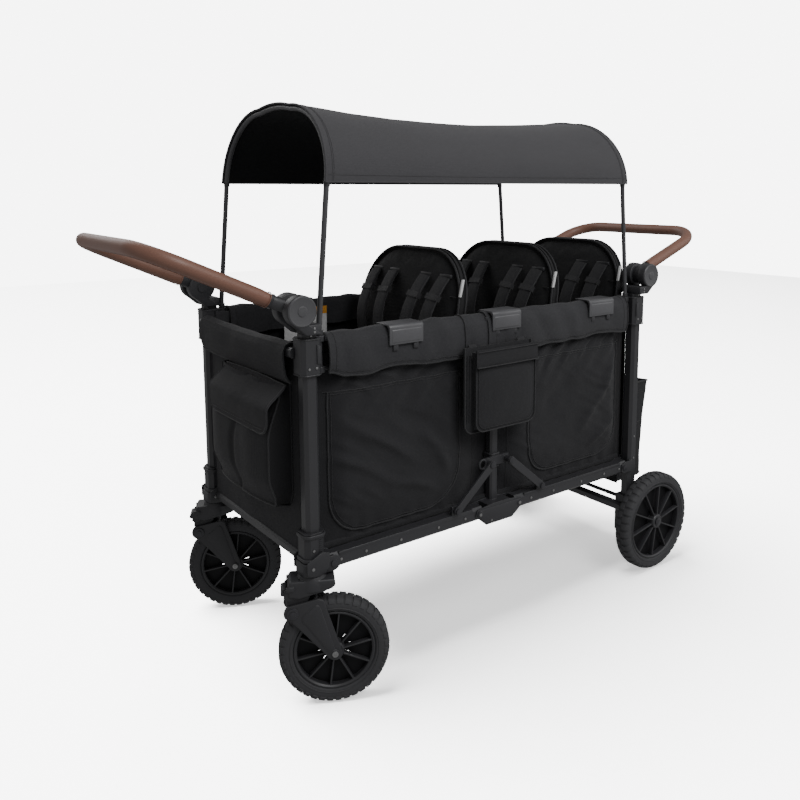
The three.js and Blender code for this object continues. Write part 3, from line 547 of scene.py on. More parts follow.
for name, sign in ENDS:
    place = handle_frame(name, sign)
    grip = Piece("grip_" + name)
    line = u_path(57, REACH, ARM_Y, BEND)

    def wrap(share):
        swell = 1 - 0.10 * exp(-((min(share, 1 - share)) / 0.01) ** 2)
        return ring(16.9 * swell, 24)

    grip.add(sweep([(x, y, 0) for x, y in line], wrap), LEATHER, place)
    # the wrap's sewn seam runs along the underside, with a row of stitches beside it
    under = [Vector((x, y, -17.0)) for x, y in line]
    grip.add(cord_along(under, 0.9, 6), LEATHER, place)
    stitches = []
    for a, b in zip(under, under[1:]):
        steps = max(1, int((b - a).length / 7))
        stitches += [(a + (b - a) * i / steps, (b - a).normalized()) for i in range(steps)]
    for p, t in stitches[2:-2]:
        q = p + t.cross(Vector((0, 0, 1))).normalized() * 4.2 + Vector((0, 0, 0.9))
        grip.add(cord_along([q - t * 2.0, q, q + t * 2.0], 0.55, 5), LEATHER, place)
    for s in (-1, 1):
        hem = [(58, s * ARM_Y + a, b) for a, b in ring(17.2, 28)]
        grip.add(cord_along(hem, 1.2, 6, closed=True), LEATHER, place)
    grip.done(name + "_handle", "brown_leather", f"handle_{name}_grip")

    tube = Piece("handle_arms_" + name)
    for s in (-1, 1):
        tube.add(disc(0, 0, 0, 26.8, s * 262.2, s * 285.8, n=40, bevel=2.5), PLASTIC, place)
        # socket that swallows the tube's end, with a rivet on top and bottom and a seam line
        def barrel(share):
            wide, tall = 15.5 - 1.5 * share, 15.2 - 0.5 * share
            turns = [a + pi / 24 for a in angles(24)]
            return [(wide * rounded(cos(a), 0.75), tall * rounded(sin(a), 0.75)) for a in turns]

        run = [(x, s * (273 - 21 * min(1, max(0, (x - 10) / 34)) ** 0.8), 0) for x in (4, 14, 24, 34, 44, 50, 56)]
        tube.add(sweep(run, barrel), PLASTIC, place)
        rivets = ((47, 0, 3.6, 14.2, 16.6, 16, BOLT), (30, 5, 5.5, 13.6, 15.4, 18, DARK_BOLT),
                  (47, 0, 3.6, -16.6, -14.2, 16, BOLT))
        for x, inward, r, low, high, n, finish in rivets:
            tube.add(disc(x, s * (ARM_Y + inward), 0, r, low, high, axis="z", n=n, bevel=0.8), finish, place)
        tube.add(cord_along([(x, s * ARM_Y, 0) for x in (54, 70, 90)], 10.5, 16), PLASTIC, place)
    tube.done(name + "_handle", "moulded_plastic", f"handle_{name}_tube")

    for side, y in SIDES:
        hub = Piece(f"hub_{name}_{side}")
        cx = sign * PIVOT_X
        top = [(a, b) for a, b in arc(0, PIVOT_Z, 35, -72, 252, 30) if b >= PIVOT_Z - 31]
        cheek = [(cx + sign * a, b) for a, b in [(-10, HUB_FOOT)] + top + [(537 - PIVOT_X, HUB_FOOT)]]
        for low, high in ((287, 310), (236, 261)):
            hub.add(prism(cheek, y * low, y * high, r=2.6, segments=3, angle=40), PLASTIC)
        hub.add(block(sign * 538, sign * 574.5, y * 237, y * 309, HUB_FOOT, 884.5, r=3), PLASTIC)
        hub.bolt(cx, PIVOT_Z, 7, y * 250, y * 293, 20, 0, DARK_BOLT)
        # plain outer cap: a raised rim round a shallow dish, with a small disc in the middle
        dish = ((0.1, 309), (33.5, 309), (34, 311), (31.5, 313), (28, 312.2), (11.5, 311.6), (10.5, 313),
                (0.1, 313.6))
        hub.add(turned([(r, y * a) for r, a in dish], (cx, 0, PIVOT_Z), n=56), HUB_CAP)
        for z in (868, 876):
            hub.bolt(sign * 556, z, 2.6, y * 308, y * 310.6, 14, 0.5)
        hub.done(f"{name}_frame", "moulded_plastic", f"handle_hub_{name}_{side}")

# ------------------------------------------------------------------ canopy: one arched sheet over two hoops
EAVES, TOP, HALF_W, CORNER, LONG, APEX_LONG, SAG = 1187, 1377, 276, 196, 503, 485, 25


def arch(share, top, inset=0.0):
    """A point of the arch, share 0 at the left eave to 1 at the right one: (y, z)."""
    half, crown, corner = HALF_W - inset, top - inset, CORNER - inset
    rise = min(corner, crown - EAVES - 12)
    straight = crown - rise - 8 - EAVES
    flat = half - corner
    quarter = pi / 2 * (corner + rise) / 2
    whole = straight + quarter + flat
    s = min(share, 1 - share) * 2 * whole
    if s < straight:
        y, z = -half, EAVES + s
    elif s < straight + quarter:
        a = (s - straight) / quarter * pi / 2
        y, z = -half + corner * (1 - cos(a)), EAVES + straight + rise * sin(a)
    else:
        f = (s - straight - quarter) / flat
        y, z = -half + corner + flat * f, crown - 8 * (1 - f) ** 2 if f < 1 else crown
    return (y, z) if share <= 0.5 else (-y, z)


def canopy_half_length(z):
    return LONG - (LONG - APEX_LONG) * (z - EAVES) / (TOP - EAVES)


def canopy_point(u, v, inset=0.0):
    t = 2 * u - 1
    y, z = arch(v, TOP - SAG * (1 - t * t), inset)
    x = t * canopy_half_length(z)
    edge = min(1, (1 - abs(t)) / 0.1)
    low = max(0, 1 - (z - EAVES) / 60)
    ripple = 2.2 * drift(x * 0.008, v * 6, 2.0) * edge
    lift = -5 * low * (1 - t * t)  # the eave pulls in a little between the hoops
    sign = -1 if y < 0 else 1
    return (x, y + sign * (lift + ripple * (1 if z < 1300 else 0.3)), z - (ripple if z > 1300 else 0))


def looks_in(f):
    c = f.calc_center_median()
    return f.normal.dot(Vector((0, c.y, c.z - EAVES + 7))) < 0


canopy = Piece("canopy_sheet")
canopy.add(grid(canopy_point, 56, 60, thick=2.4, outward=(0, 0, 1)), CANOPY, inside=(CANOPY_IN, looks_in))
sheet_object = canopy.done("rear_canopy_hoop", "canopy_cloth", "canopy_cover")
trim = Piece("canopy_trim")
for t in (0.0, 1.0):
    trim.add(cord_along([canopy_point(t, v, 1.0) for v in shares(70)], 2.6), CANOPY)
    for inner in (0.016, 0.020):
        u = inner if t == 0 else 1 - inner
        trim.add(cord_along([canopy_point(u, v, -0.3) for v in shares(60)], 0.7, 5), CANOPY)
for v, stitched in ((0.0, 0.022), (1.0, 0.978)):
    trim.add(cord_along([canopy_point(u, v, 1.0) for u in shares(50)], 2.0), CANOPY)
    trim.add(cord_along([canopy_point(u, stitched, -0.3) for u in shares(50)], 0.6, 5), CANOPY)
trim_object = trim.done("rear_canopy_hoop", "canopy_cloth")

for name, sign in ENDS:
    hoop = Piece("hoop_" + name)
    foot_x, eave_x = sign * POLE_X, sign * (canopy_half_length(EAVES) - 8)
    left = [(foot_x, -POLE_Y, z) for z in (766, 800, 840, 862, 874)]
    left += [(foot_x + (eave_x - foot_x) * i / 8, -POLE_Y + 0.1 * i, 874 + (EAVES - 874) * i / 8)
             for i in range(1, 8)]
    over = [(sign * (canopy_half_length(z) - 8), y, z) for y, z in [arch(i, TOP, 10.1) for i in shares(60)]]
    hoop.add(cord_along(left + over + [(x, -y, z) for x, y, z in reversed(left)], 6.4, 14), POLE)
    for s in (-1, 1):
        # ferrule and stop collar where the pole drops into its clip
        hoop.add(cord_along([(foot_x, s * POLE_Y, z) for z in (853, 858, 863)], 8.6, 16), PLASTIC)
        hoop.add(cord_along([(eave_x, s * 265.8, EAVES + z) for z in (-9, -4, 2)], 7.6, 14), PLASTIC)
    hoop.done(f"{name}_canopy_hoop", "frame_steel", f"canopy_hoop_{name}")
# ------------------------------------------------------------------ tub: side walls, end walls, floor
WALL_LOW, WALL_HIGH, WALL_X = 326, 806, 545


def in_panel(x, z, x0, x1, z0, r):
    """How far a point lies inside a panel with rounded lower corners, in mm."""
    if z > z0 + r or x0 + r < x < x1 - r:
        return min(x - x0, x1 - x, z - z0)
    cx = x0 + r if x < x0 + r else x1 - r
    return r - hypot(x - cx, z - z0 - r)


PANELS = ((-497, -120, 368, 96), (126, 505, 380, 96))
SEAM_Z = 716


# long folds pulled into the wall: height, then the two ends and the half width in mm
FOLDS = (
    (9.0, -470, 640, -250, 505, 14), (7.0, -485, 560, -330, 468, 12), (6.5, -500, 752, -380, 700, 9),
    (5.5, -420, 760, -300, 716, 8), (7.0, -330, 470, -190, 420, 12), (6.5, -240, 590, -150, 450, 15),
    (-6.0, -330, 640, -170, 560, 22), (6.5, 140, 690, 200, 750, 8), (6.5, 185, 680, 262, 748, 8),
    (6.0, 250, 684, 325, 748, 7), (6.0, 320, 690, 392, 752, 7), (5.5, 395, 700, 462, 756, 7),
    (7.0, 330, 470, 480, 640, 17), (6.5, 380, 420, 500, 500, 12), (-5.0, 180, 560, 300, 640, 24),
    (5.0, 420, 560, 495, 690, 13),
)


def fold_at(x, z, x0, z0, x1, z1, width):
    """A ridge, 0 to 1, along the line between two points; it fades at both ends."""
    dx, dz = x1 - x0, z1 - z0
    long = hypot(dx, dz)
    share = ((x - x0) * dx + (z - z0) * dz) / long / long
    across = ((x - x0) * dz - (z - z0) * dx) / long + 7 * sin(3 * share)
    return exp(-((across / width) ** 2)) * ease(-0.15, 0.3, share) * (1 - ease(0.7, 1.15, share))


def wall_y(x, z, seed=0.0):
    """Distance of the side wall's outer face from the middle plane."""
    away = ease(24, 120, abs(x)) * (1 - ease(455, 538, abs(x)))
    high = ease(350, 470, z)
    out = 241 + away * (6 + 17 * high)
    under_seam = 1 - 0.9 * ease(SEAM_Z - 2, SEAM_Z + 4, z)
    out += 3.2 * ease(0, 7, max(in_panel(x, z, *p) for p in PANELS)) * away * under_seam
    crease = wrinkle(x, z, seed)
    drawn = sum(h * fold_at(x, z, *line) for h, *line in FOLDS)
    # folds that fan down from the sleeve and gather above the floor hem
    swirl = 2.5 * drift(x * 0.01, z * 0.01, seed)
    hang = ease(600, 760, z) * sin((x + (800 - z) * 0.9) * 0.085 + swirl) * 3.2
    gather = (1 - ease(352, 420, z)) * sin(x * 0.11 + 3 * drift(x * 0.012, 0, seed)) * 1.5
    return out + away * (8.5 * crease * high + hang + gather + drawn)


for side, y in SIDES:
    seed = 2.0 if y < 0 else 9.0
    wall = Piece("side_wall_" + side)

    def on_wall(x, z, out=2.0):
        return (x, y * (wall_y(x, z, seed) + out), z)

    def wall_point(u, v):
        return on_wall(-WALL_X + 2 * WALL_X * u, WALL_LOW + (WALL_HIGH - WALL_LOW) * v, 0)

    shape = grid(wall_point, 200, 90, thick=3.0, outward=(0, y, 0))
    wall.add(shape, CLOTH, inside=(LINING_AND_SHADE, lambda f: f.normal.y * y < -0.3))
    squash(wall.done("rear_frame", "black_cloth", "tub") if y < 0 else wall.done("rear_frame", "black_cloth"))
    trimmed = Piece("side_wall_piping_" + side)
    for x0, x1, z0, r in PANELS:
        path = [(x0, z) for z in range(SEAM_Z, z0 + r, -12)] + arc(x0 + r, z0 + r, r, 180, 270, 12)
        path += [(x, z0) for x in range(x0 + r + 12, x1 - r, 12)] + arc(x1 - r, z0 + r, r, 270, 360, 12)
        path += [(x1, z) for z in range(z0 + r + 8, SEAM_Z, 12)]
        trimmed.seam([on_wall(x, z, 1.4) for x, z in path], 2.4)
        # the seam along the panel's top, with a second row of stitches
        for z, size in ((SEAM_Z, 1.2), (SEAM_Z - 6, 0.7)):
            trimmed.seam([on_wall(x, z, 0.6) for x in range(x0 - 10, x1 + 12, 8)], size, 6)
        middle = (x0 + x1) / 2
        inner = [(x + copysign(7, middle - x) * (1 if z > z0 + 12 else 0.3), z + (7 if z < z0 + r else 0))
                 for x, z in path]
        trimmed.seam([on_wall(x, z, 0.3) for x, z in inner], 0.8, 5)
    # a zip guard and double seam down beside each post, and the floor hem just over the rails
    for x in (-528, -520, 528, 520, -62, 62):
        trimmed.seam([on_wall(x, z, 0.3) for z in range(360, 790, 10)], 0.9, 5)
    hem = [(x, y * 243.5, 349 + 1.5 * drift(x * 0.02, 0, y)) for x in range(-536, 537, 12)]
    trimmed.add(sweep(hem, ring(6.5, 12, 1.5)), CLOTH)
    squash(trimmed.done("rear_frame", "black_cloth"))

base = Piece("floor_mat")


def mat(u, v):
    dip = 2.5 * sin(pi * u) * sin(pi * v)
    return (-552 + 1104 * u, -236 + 472 * v, 364 - dip + 1.3 * wrinkle(1104 * u, 472 * v, 5.0))


base.add(grid(mat, 60, 30, thick=11, outward=(0, 0, 1)), LINING_AND_SHADE)
for x in (-276, 0, 276):
    base.seam([(x, -230 + 46 * i, 364.5) for i in range(11)], 1.5, 6)
squash(base.done("rear_frame", "black_cloth"))

END_SLEEVE_SECTION = [(578, 746), (586, 752), (592, 764), (596, 782), (597.5, 802), (596.5, 819), (590, 833),
                      (577, 838.5), (564, 836), (557, 826), (554, 808), (553.5, 788), (553.5, 772)]
for name, sign in ENDS:
    body = f"{name}_frame"
    end = Piece("end_wall_" + name)

    def end_x(yy, z):
        mid = cos(yy / 245 * pi / 2)
        out = 562 + 9 * mid * ease(355, 470, z) + 3.5 * wrinkle(yy * 1.3 + 40, z, 14.0 + sign) * mid
        out += 3.5 * exp(-((z - 762) / 7) ** 2) * mid
        return sign * out

    def end_point(u, v):
        yy, z = -240 + 480 * u, 348 + 450 * v
        return (end_x(yy, z), yy, z)

    shape = grid(end_point, 70, 70, thick=3.0, outward=(sign, 0, 0))
    end.add(shape, CLOTH, inside=(LINING_AND_SHADE, lambda f: f.normal.x * sign < -0.3))
    end.done(body, "black_cloth")
    # the padded top that wraps the cross tube, in the darker wall cloth rather than the side sleeves' lighter one:
    # painted shade on the ends
    cap = Piece("end_sleeve_" + name)

    def wrapped(u, v, half=238):
        x, z = along(END_SLEEVE_SECTION, v)
        yy = -half + 2 * half * u
        puff = 2.4 * drift(yy * 0.016, v * 4, 3.0 + sign) + 0.8 * sin(yy * 0.05 + 4 * v)
        d = Vector((x - 577, z - 805)).normalized() * (puff * 0.8)
        return (sign * (x + d.x), yy, z + d.y * 0.6 - 3.5 * sin(pi * u))

    cap.add(grid(wrapped, 70, 40, thick=4.0), CLOTH)
    cap.seam([wrapped(i, 0.0) for i in shares(50)], 2.2)
    cap.seam([wrapped(i, 0.075) for i in shares(50)], 0.8, 5)
    cap.done(body, "black_cloth")

# ------------------------------------------------------------------ padded sleeves over the top side rails
SLEEVE_SECTION = [(284, 757), (288, 768), (290.5, 782), (291, 800), (290, 818), (287, 834), (280, 847), (269, 854.5),
                  (257, 856), (246, 852), (239, 842), (235.5, 826), (234.5, 806), (235, 790), (236, 780)]


def sleeve_point(x, v, y, seed, out=0.0):
    yy, z = along(SLEEVE_SECTION, v)
    d = (Vector((yy, z)) - Vector((257, 812))).normalized()
    low = ease(0.35, 0.0, v)
    end = ease(0, 26, 242 - abs(abs(x) - 250))
    # creases pull up to the plastic covers, and the skirt sags between them
    pull = sum(exp(-((x - c) / 62) ** 2) for c in (-303, 18, 382))
    sag = low * (-3.5 + 5 * pull + 3 * drift(x * 0.007, 0, seed))
    near_end = 13 * low * ease(-455, -505, x)
    swirl = 2 * drift(x * 0.015, v * 3, seed)
    fan = sin((x + (v - 0.2) * 120) * 0.07 + swirl) * 1.3 * (1 - 0.5 * pull)
    puff = 3.4 * drift(x * 0.013, v * 3.2, seed) + fan - 3.0 * pull * ease(0.45, 0.1, v) + out
    p = Vector((yy, z)) + d * puff * (0.25 + 0.75 * end)
    return (x, y * p.x, min(p.y + sag + near_end, 859.5))


RAIL_COVERS = (("front", -352, -255, "front_top_rails", 0.0), ("middle", -33, 66, "centre_posts", 1.2),
               ("rear", 333, 436, "rear_top_rails", 0.0))
for side, y in SIDES:
    for name, sign in ENDS:
        x0, x1 = (-508, -16) if sign < 0 else (16, 508)
        seed = 3.0 * sign + 10 * y
        sleeve = Piece(f"sleeve_{name}_{side}")

        def shape(u, v, out=0.0):
            return sleeve_point(x0 + (x1 - x0) * u, v, y, seed, out)

        # the sleeve's lighter cloth is a painted highlight
        sleeve.add(grid(shape, 120, 42, thick=4.5), HIGHLIT_SLEEVE)
        for v, out, size, n in ((0.0, 0.5, 2.5, 8), (0.055, 0.4, 0.8, 5), (0.62, 0.4, 0.9, 5)):
            sleeve.seam([shape(u, v, out) for u in shares(80)], size, n)
        for u, size in ((0.0, 2.2), (1.0, 2.2), (0.035, 0.9), (0.965, 0.9)):
            sleeve.seam([shape(u, v, 0.6) for v in shares(30)], size, 7)
        if sign < 0 and y < 0:
            sleeve.seam([shape(0.79, v / 30, 1.6) for v in range(24)], 2.0, 7)
        sleeve.done(f"{name}_top_rails", "black_cloth")
    # the strip over the middle hinge, in the same lighter cloth: painted highlight
    mid = Piece("middle_cover_" + side)
    mid.add(grid(lambda u, v: sleeve_point(-44 + 88 * u, v * 0.93 + 0.02, y, 20.0, 4.2), 18, 30, thick=3.0), HIGHLIT_SLEEVE)
    mid.done("centre_posts", "black_cloth")
    # moulded covers clipped over the sleeves, with two dark catches under each
    for label, x0, x1, body, lift in RAIL_COVERS:
        clip = Piece(f"rail_cover_{label}_{side}")
        outline = [(291, 812), (296, 812)] + arc(287, 851 + lift, 9, 0, 90, 5)
        outline += [(240, 860 + lift), (237, 856), (282, 856), (289, 851), (291, 840)]
        clip.add(prism([(y * a, b) for a, b in outline], x0, x1, axis="x", r=1.2), SMOOTH_PLASTIC)
        raised = [(y * a, b) for a, b in ((295, 816), (297, 818), (297, 846), (295, 848))]
        clip.add(prism(raised, x0 + 7, x1 - 7, axis="x", r=0.8), SMOOTH_PLASTIC)
        for x in (x0 + 12, x1 - 26):
            clip.add(block(x, x + 15, y * 281, y * 293, 797, 813, r=2.5), PLASTIC)
        clip.done(body, "moulded_plastic")

# ------------------------------------------------------------------ side pocket on the left centre post
pocket = Piece("pocket")
PX0, PX1, PZ0, PZ1 = -136, 90, 560, 772


def pocket_outline(x0, x1, z0, z1, r):
    return [(x0, z1)] + arc(x0 + r, z0 + r, r, 180, 270, 10) + arc(x1 - r, z0 + r, r, 270, 360, 10) + [(x1, z1)]


def pad_sheet(x0, x1, z0, z1, r, y_face, puff, thick, seed, n=34):
    """A soft panel with rounded lower corners, crowned in the middle."""
    def at(u, v):
        x, z = x0 + (x1 - x0) * u, z1 + (z0 - z1) * v
        w = drawn_in(r, z - z0)
        x = x0 + w + (x1 - x0 - 2 * w) * u
        crown = (1 - abs(2 * u - 1) ** 3) * (1 - abs(2 * v - 1) ** 4)
        return (x, y_face - puff * crown - 1.6 * wrinkle(x * 2, z * 2, seed) * crown, z)
    return grid(at, n, n, thick=thick, outward=(0, -1, 0))


pocket.add(pad_sheet(PX0, PX1, PZ0, PZ1 + 8, 26, -306, 3, 5, 4.0), CLOTH)
pocket.add(pad_sheet(PX0 + 24, PX1 + 2, PZ0 + 4, PZ1 - 30, 26, -322, 9, 5, 6.0), CLOTH)
pocket.add(pad_sheet(PX0 + 20, PX1 + 4, PZ1 - 42, PZ1 + 4, 3, -331, 2.5, 4, 8.0, n=22), CLOTH)
for x0, x1, z0, z1, y_face, size in ((PX0, PX1, PZ0, PZ1 + 8, -308, 2.0),
                                     (PX0 + 24, PX1 + 2, PZ0 + 4, PZ1 - 34, -324, 1.7)):
    pocket.seam([(x, y_face, z) for x, z in pocket_outline(x0, x1, z0, z1, 26)], size)
inner = pocket_outline(PX0 + 32, PX1 - 6, PZ0 + 12, PZ1 - 40, 22)
pocket.seam([(x, -323.5 - 9 * (1 - abs((x - PX0) / (PX1 - PX0) * 2 - 1) ** 3) * 0.25, z) for x, z in inner], 0.8, 5)
gusset = pocket_outline(PX0 + 24, PX1 + 2, PZ0 + 5, PZ1 - 4, 26)


def gusset_point(u, v):
    """Round the sides and foot; the sides are drawn in between the corners."""
    x, z = gusset[round(u * (len(gusset) - 1))]
    return (x + copysign(2.5, -20 - x) * sin(pi * v), -304 - 19 * v, z)


pocket.add(grid(gusset_point, len(gusset) - 1, 6, thick=2.0), CLOTH)
for x, wide, z, size, n in ((PX0 + 20, PX1 - PX0 - 16, PZ1 - 40, 1.6, 7),
                            (PX0 + 22, PX1 - PX0 - 20, PZ1 - 1, 0.9, 6)):
    pocket.seam([(x + wide * i, -334.5 - 1.8 * sin(pi * i), z) for i in shares(20)], size, n)
for x in (PX0 + 8, PX0 + 15):
    pocket.seam([(x, -309 - 2 * sin(pi * i), PZ0 + 30 + (PZ1 - PZ0 - 40) * i) for i in shares(16)], 0.8, 5)
# two webbing loops that hang it from the sleeve
for x in (-104, 62):
    pocket.add(sweep([(x, -297, 786), (x, -303, 776), (x, -307, 764), (x, -310, 752)], band(26, 2), up=(0, -1, 0.3)),
               WEBBING)
pocket.done("centre_posts", "black_cloth", "side_pocket")

# ------------------------------------------------------------------ front pouch: a gusseted body under a padded flap
pouch = Piece("front_pouch")
QY0, QY1, QZ0, QZ1, POUCH_BACK = -205, 115, 455, 738, -566


def pouch_front(u, v):
    yy, z = QY0 + (QY1 - QY0) * u, QZ1 + (QZ0 - QZ1) * v
    crown = 1 - abs(2 * u - 1) ** 4
    belly = 600 + 34 * ease(0, 0.45, v) * (1 - 0.55 * ease(0.75, 1.0, v))
    ridge = exp(-((yy + 40 + (z - 560) * 0.12 + 14 * sin(z * 0.03)) / 11) ** 2)
    fold = 4 * drift(yy * 0.014, z * 0.006, 2.0) + 5.5 * ridge
    taper = 9 * (1 - ease(0, 30, z - QZ0)) * (1 if u < 0.5 else -1)
    return (-(belly - 24 * (1 - crown) * 0.6 - fold * crown), yy + taper, z)


pouch.add(grid(pouch_front, 56, 56, thick=3.0, outward=(-1, 0, 0)), CLOTH)
for u0, out in ((0.0, -1), (1.0, 1)):
    edge = [Vector(pouch_front(u0, i)) for i in shares(40)]
    wall_side = [Vector((POUCH_BACK, p.y + 5 * out, p.z)) for p in edge]

    def pouch_side(u, v):
        i = round(v * 40)
        return edge[i].lerp(wall_side[i], u) - Vector((0, 4.5 * out * sin(pi * u), 0))

    # the gusset sides take the darker lining cloth: painted shade
    pouch.add(grid(pouch_side, 8, 40, thick=2.5), LINING_AND_SHADE)
    pouch.seam([p + Vector((-1, 0, 0)) for p in edge], 2.4)
    pouch.seam([p + Vector((-0.5, 0, 0)) for p in wall_side], 2.6)
    pouch.seam([p + Vector((-2, -9 * out, 0)) for p in edge[4:]], 0.8, 5)
foot = [Vector(pouch_front(i, 1.0)) for i in shares(40)]


def pouch_foot(u, v):
    p = foot[round(u * 40)]
    return p.lerp(Vector((POUCH_BACK, p.y, QZ0 - 6)), v)


pouch.add(grid(pouch_foot, 40, 6, thick=2.5), CLOTH)
pouch.seam(foot, 2.4)
FY0, FY1, FZ0, FZ1 = -222, 92, 630, 740


def flap(u, v, out=0.0):
    drop = FZ1 - (FZ1 - FZ0) * v
    w = drawn_in(34, drop - FZ0)
    yy = FY0 + w + (FY1 - FY0 - 2 * w) * u
    crown = (1 - abs(2 * u - 1) ** 4) * sin(pi * min(1, 0.15 + v * 0.85))
    x = 584 + 50 * ease(-0.05, 0.5, v) + 5 * crown + 2.4 * wrinkle(yy * 2, drop * 2, 31.0) * crown + out
    return (-x, yy, drop + 5 * (1 - abs(2 * u - 1) ** 2) * (1 - v))


pouch.add(grid(flap, 40, 30, thick=5.0, outward=(-1, 0, 0.2)), CLOTH)
rim = [flap(0, i) for i in shares(24)] + [flap(i, 1) for i in shares(30)[1:]]
rim += [flap(1, 1 - i) for i in shares(24)[1:]]
pouch.seam([(x + 2, yy, z) for x, yy, z in rim], 2.8)
pouch.seam([flap(0.04 + 0.92 * i, 0.9, 0.4) for i in shares(30)], 0.8, 5)
pouch.seam([flap(i, 0.0, 0.5) for i in shares(30)], 1.6, 6)
pouch.done("front_frame", "black_cloth")

# ------------------------------------------------------------------ rear basket: an open bag on webbing loops
basket = Piece("basket")
BX0, BX1, BY, BZ0, BZ1, BR = 579, 732, 210, 242, 558, 26
BASKET_RUN = [(BX0, -BY), (BX1 - BR, -BY)] + arc(BX1 - BR, BR - BY, BR, -90, 0, 6)[1:]
BASKET_RUN += [(BX1, -BY + BR + (2 * BY - 2 * BR) * i / 10) for i in range(1, 10)]
BASKET_RUN += arc(BX1 - BR, BY - BR, BR, 0, 90, 6) + [(BX0, BY)]


def basket_wall(u, v):
    z = BZ1 + (BZ0 - BZ1) * v
    x, yy = along(BASKET_RUN, u)
    taper = 1 - 0.10 * v - 0.05 * sin(pi * v)
    sway = 5 * drift(yy * 0.012 + 3, z * 0.012, x * 0.01) + 3.5 * sin(z * 0.045 + yy * 0.02) * v
    droop = -9 * (1 - v) * sin(pi * u) ** 2
    return (BX0 + (x - BX0) * taper + sway * (1 if x > BX0 + 20 else 0), yy * (1 - 0.05 * v), z + droop)


def basket_foot(u, v):
    return (BX0 + 118 * u, (-BY + 2 * BY * v) * 0.95, BZ0 + 2 - 5 * sin(pi * u) * sin(pi * v))


def basket_back(u, v):
    return (BX0 + 1 + 2 * sin(pi * v), -BY + 2 * BY * u, BZ1 + (BZ0 - BZ1) * v)


basket.add(grid(basket_wall, 90, 40, thick=2.6), CLOTH)
basket.add(grid(basket_foot, 16, 24, thick=3, outward=(0, 0, 1)), LINING_AND_SHADE)
basket.add(grid(basket_back, 24, 24, thick=2.6), CLOTH)
for v, r in ((0.0, 3.4), (0.09, 0.9), (0.11, 0.9), (0.42, 1.2), (0.44, 1.2), (0.985, 2.6)):
    basket.seam([basket_wall(i, v) for i in shares(90)], r, 7)
for u in (0.22, 0.5, 0.78):
    basket.seam([basket_wall(u, i) for i in shares(30)], 1.6, 6)
for s in (-1, 1):
    hang = ((592, 176, 770), (604, 176, 757), (612, 176, 730), (613, 177, 690), (607, 179, 640), (598, 181, 596),
            (590, 184, 560), (585, 186, 530))
    basket.add(sweep([(x, s * a, z) for x, a, z in hang], band(22, 1.8), up=(1, 0, 0)), WEBBING)
    basket.add(block(598, 604, s * 166, s * 190, 592, 606, r=1.6), PLASTIC)
basket.done("rear_frame", "black_cloth", "rear_basket")

# ------------------------------------------------------------------ seats: padded backs, benches and shoulder straps
SEATS = (-125, 215, 496)
SEAT_FOOT, SEAT_TOP, SEAT_HALF, SEAT_CORNER = 504, 1012, 226, 146


def puffed(bm, voxel, pressure, cap, name, frames=20):
    """Inflates a closed pad with a cloth simulation, each point held within cap of where it began. All in mm."""
    mesh = bpy.data.meshes.new(name)
    bmesh.ops.transform(bm, matrix=Matrix.Scale(MM, 4), verts=bm.verts)
    bm.to_mesh(mesh)
    bm.free()
    obj = linked(name, mesh)
    remesh = obj.modifiers.new("remesh", "REMESH")
    remesh.mode, remesh.voxel_size = "VOXEL", voxel * MM
    solid = bpy.data.meshes.new_from_object(obj.evaluated_get(bpy.context.evaluated_depsgraph_get()))
    obj.modifiers.clear()
    obj.data = solid
    start = [v.co.copy() for v in solid.vertices]
    cloth = obj.modifiers.new("cloth", "CLOTH")
    s = cloth.settings
    s.quality, s.mass, s.use_pressure, s.uniform_pressure_force = 4, 0.25, True, pressure
    s.tension_stiffness = s.compression_stiffness = 20
    s.bending_stiffness, s.effector_weights.gravity = 0.6, 0
    scene = bpy.context.scene
    for f in range(1, frames + 1):
        scene.frame_set(f)
    done = bpy.data.meshes.new_from_object(obj.evaluated_get(bpy.context.evaluated_depsgraph_get()))
    obj.modifiers.clear()
    for v, p in zip(done.vertices, start):
        d = v.co - p
        if d.length > cap * MM:
            v.co = p + d.normalized() * cap * MM
    out = bmesh.new()
    out.from_mesh(done)
    bmesh.ops.transform(out, matrix=Matrix.Scale(1 / MM, 4), verts=out.verts)
    scene.frame_set(1)
    bpy.data.objects.remove(obj)
    return out


def back_half_width(w):
    """Half the back's width at height w over its foot; the top corners are round."""
    over = w - (SEAT_TOP - SEAT_FOOT - SEAT_CORNER)
    if over < 0:
        return SEAT_HALF - 6 * cos(w / (SEAT_TOP - SEAT_FOOT) * 2.2)
    return SEAT_HALF - SEAT_CORNER + sqrt(max(0, SEAT_CORNER**2 - over**2))


def lean_x(z):
    return tan(radians(4)) * (z - SEAT_FOOT) + 34 * ease(800, 1080, z)


def back_outline(grow=0.0, n=12):
    r, half = SEAT_CORNER, SEAT_HALF + grow
    pts = [(-half + 6, SEAT_FOOT + 8), (-half + 2, SEAT_FOOT + 200), (-half, SEAT_TOP - r)]
    turns = [pi / 2 * i / n for i in range(1, n + 1)]
    pts += [(-half + r - r * cos(a), SEAT_TOP - r + (r + grow) * sin(a)) for a in turns]
    pts += [(-half + r + (2 * half - 2 * r) * i / 6, SEAT_TOP + grow) for i in range(1, 6)]
    return pts + [(-a, b) for a, b in reversed(pts[: 3 + n])]


back_pad = prism(back_outline(-2), 6, 27, axis="x", r=5)
bench_pad = block(-230, 2, -218, 218, 510, 549, r=12)
back_pad = puffed(back_pad, 7, 3.5, 10, "back_pad")
bench_pad = puffed(bench_pad, 8, 4.0, 10, "bench_pad")
back_pad_mesh, bench_pad_mesh = bpy.data.meshes.new("b"), bpy.data.meshes.new("c")
back_pad.to_mesh(back_pad_mesh)
bench_pad.to_mesh(bench_pad_mesh)


def copy_of(mesh):
    bm = bmesh.new()
    bm.from_mesh(mesh)
    return bm


def leaned(bm, foot):
    for v in bm.verts:
        v.co.x += foot + lean_x(v.co.z)
    return bm


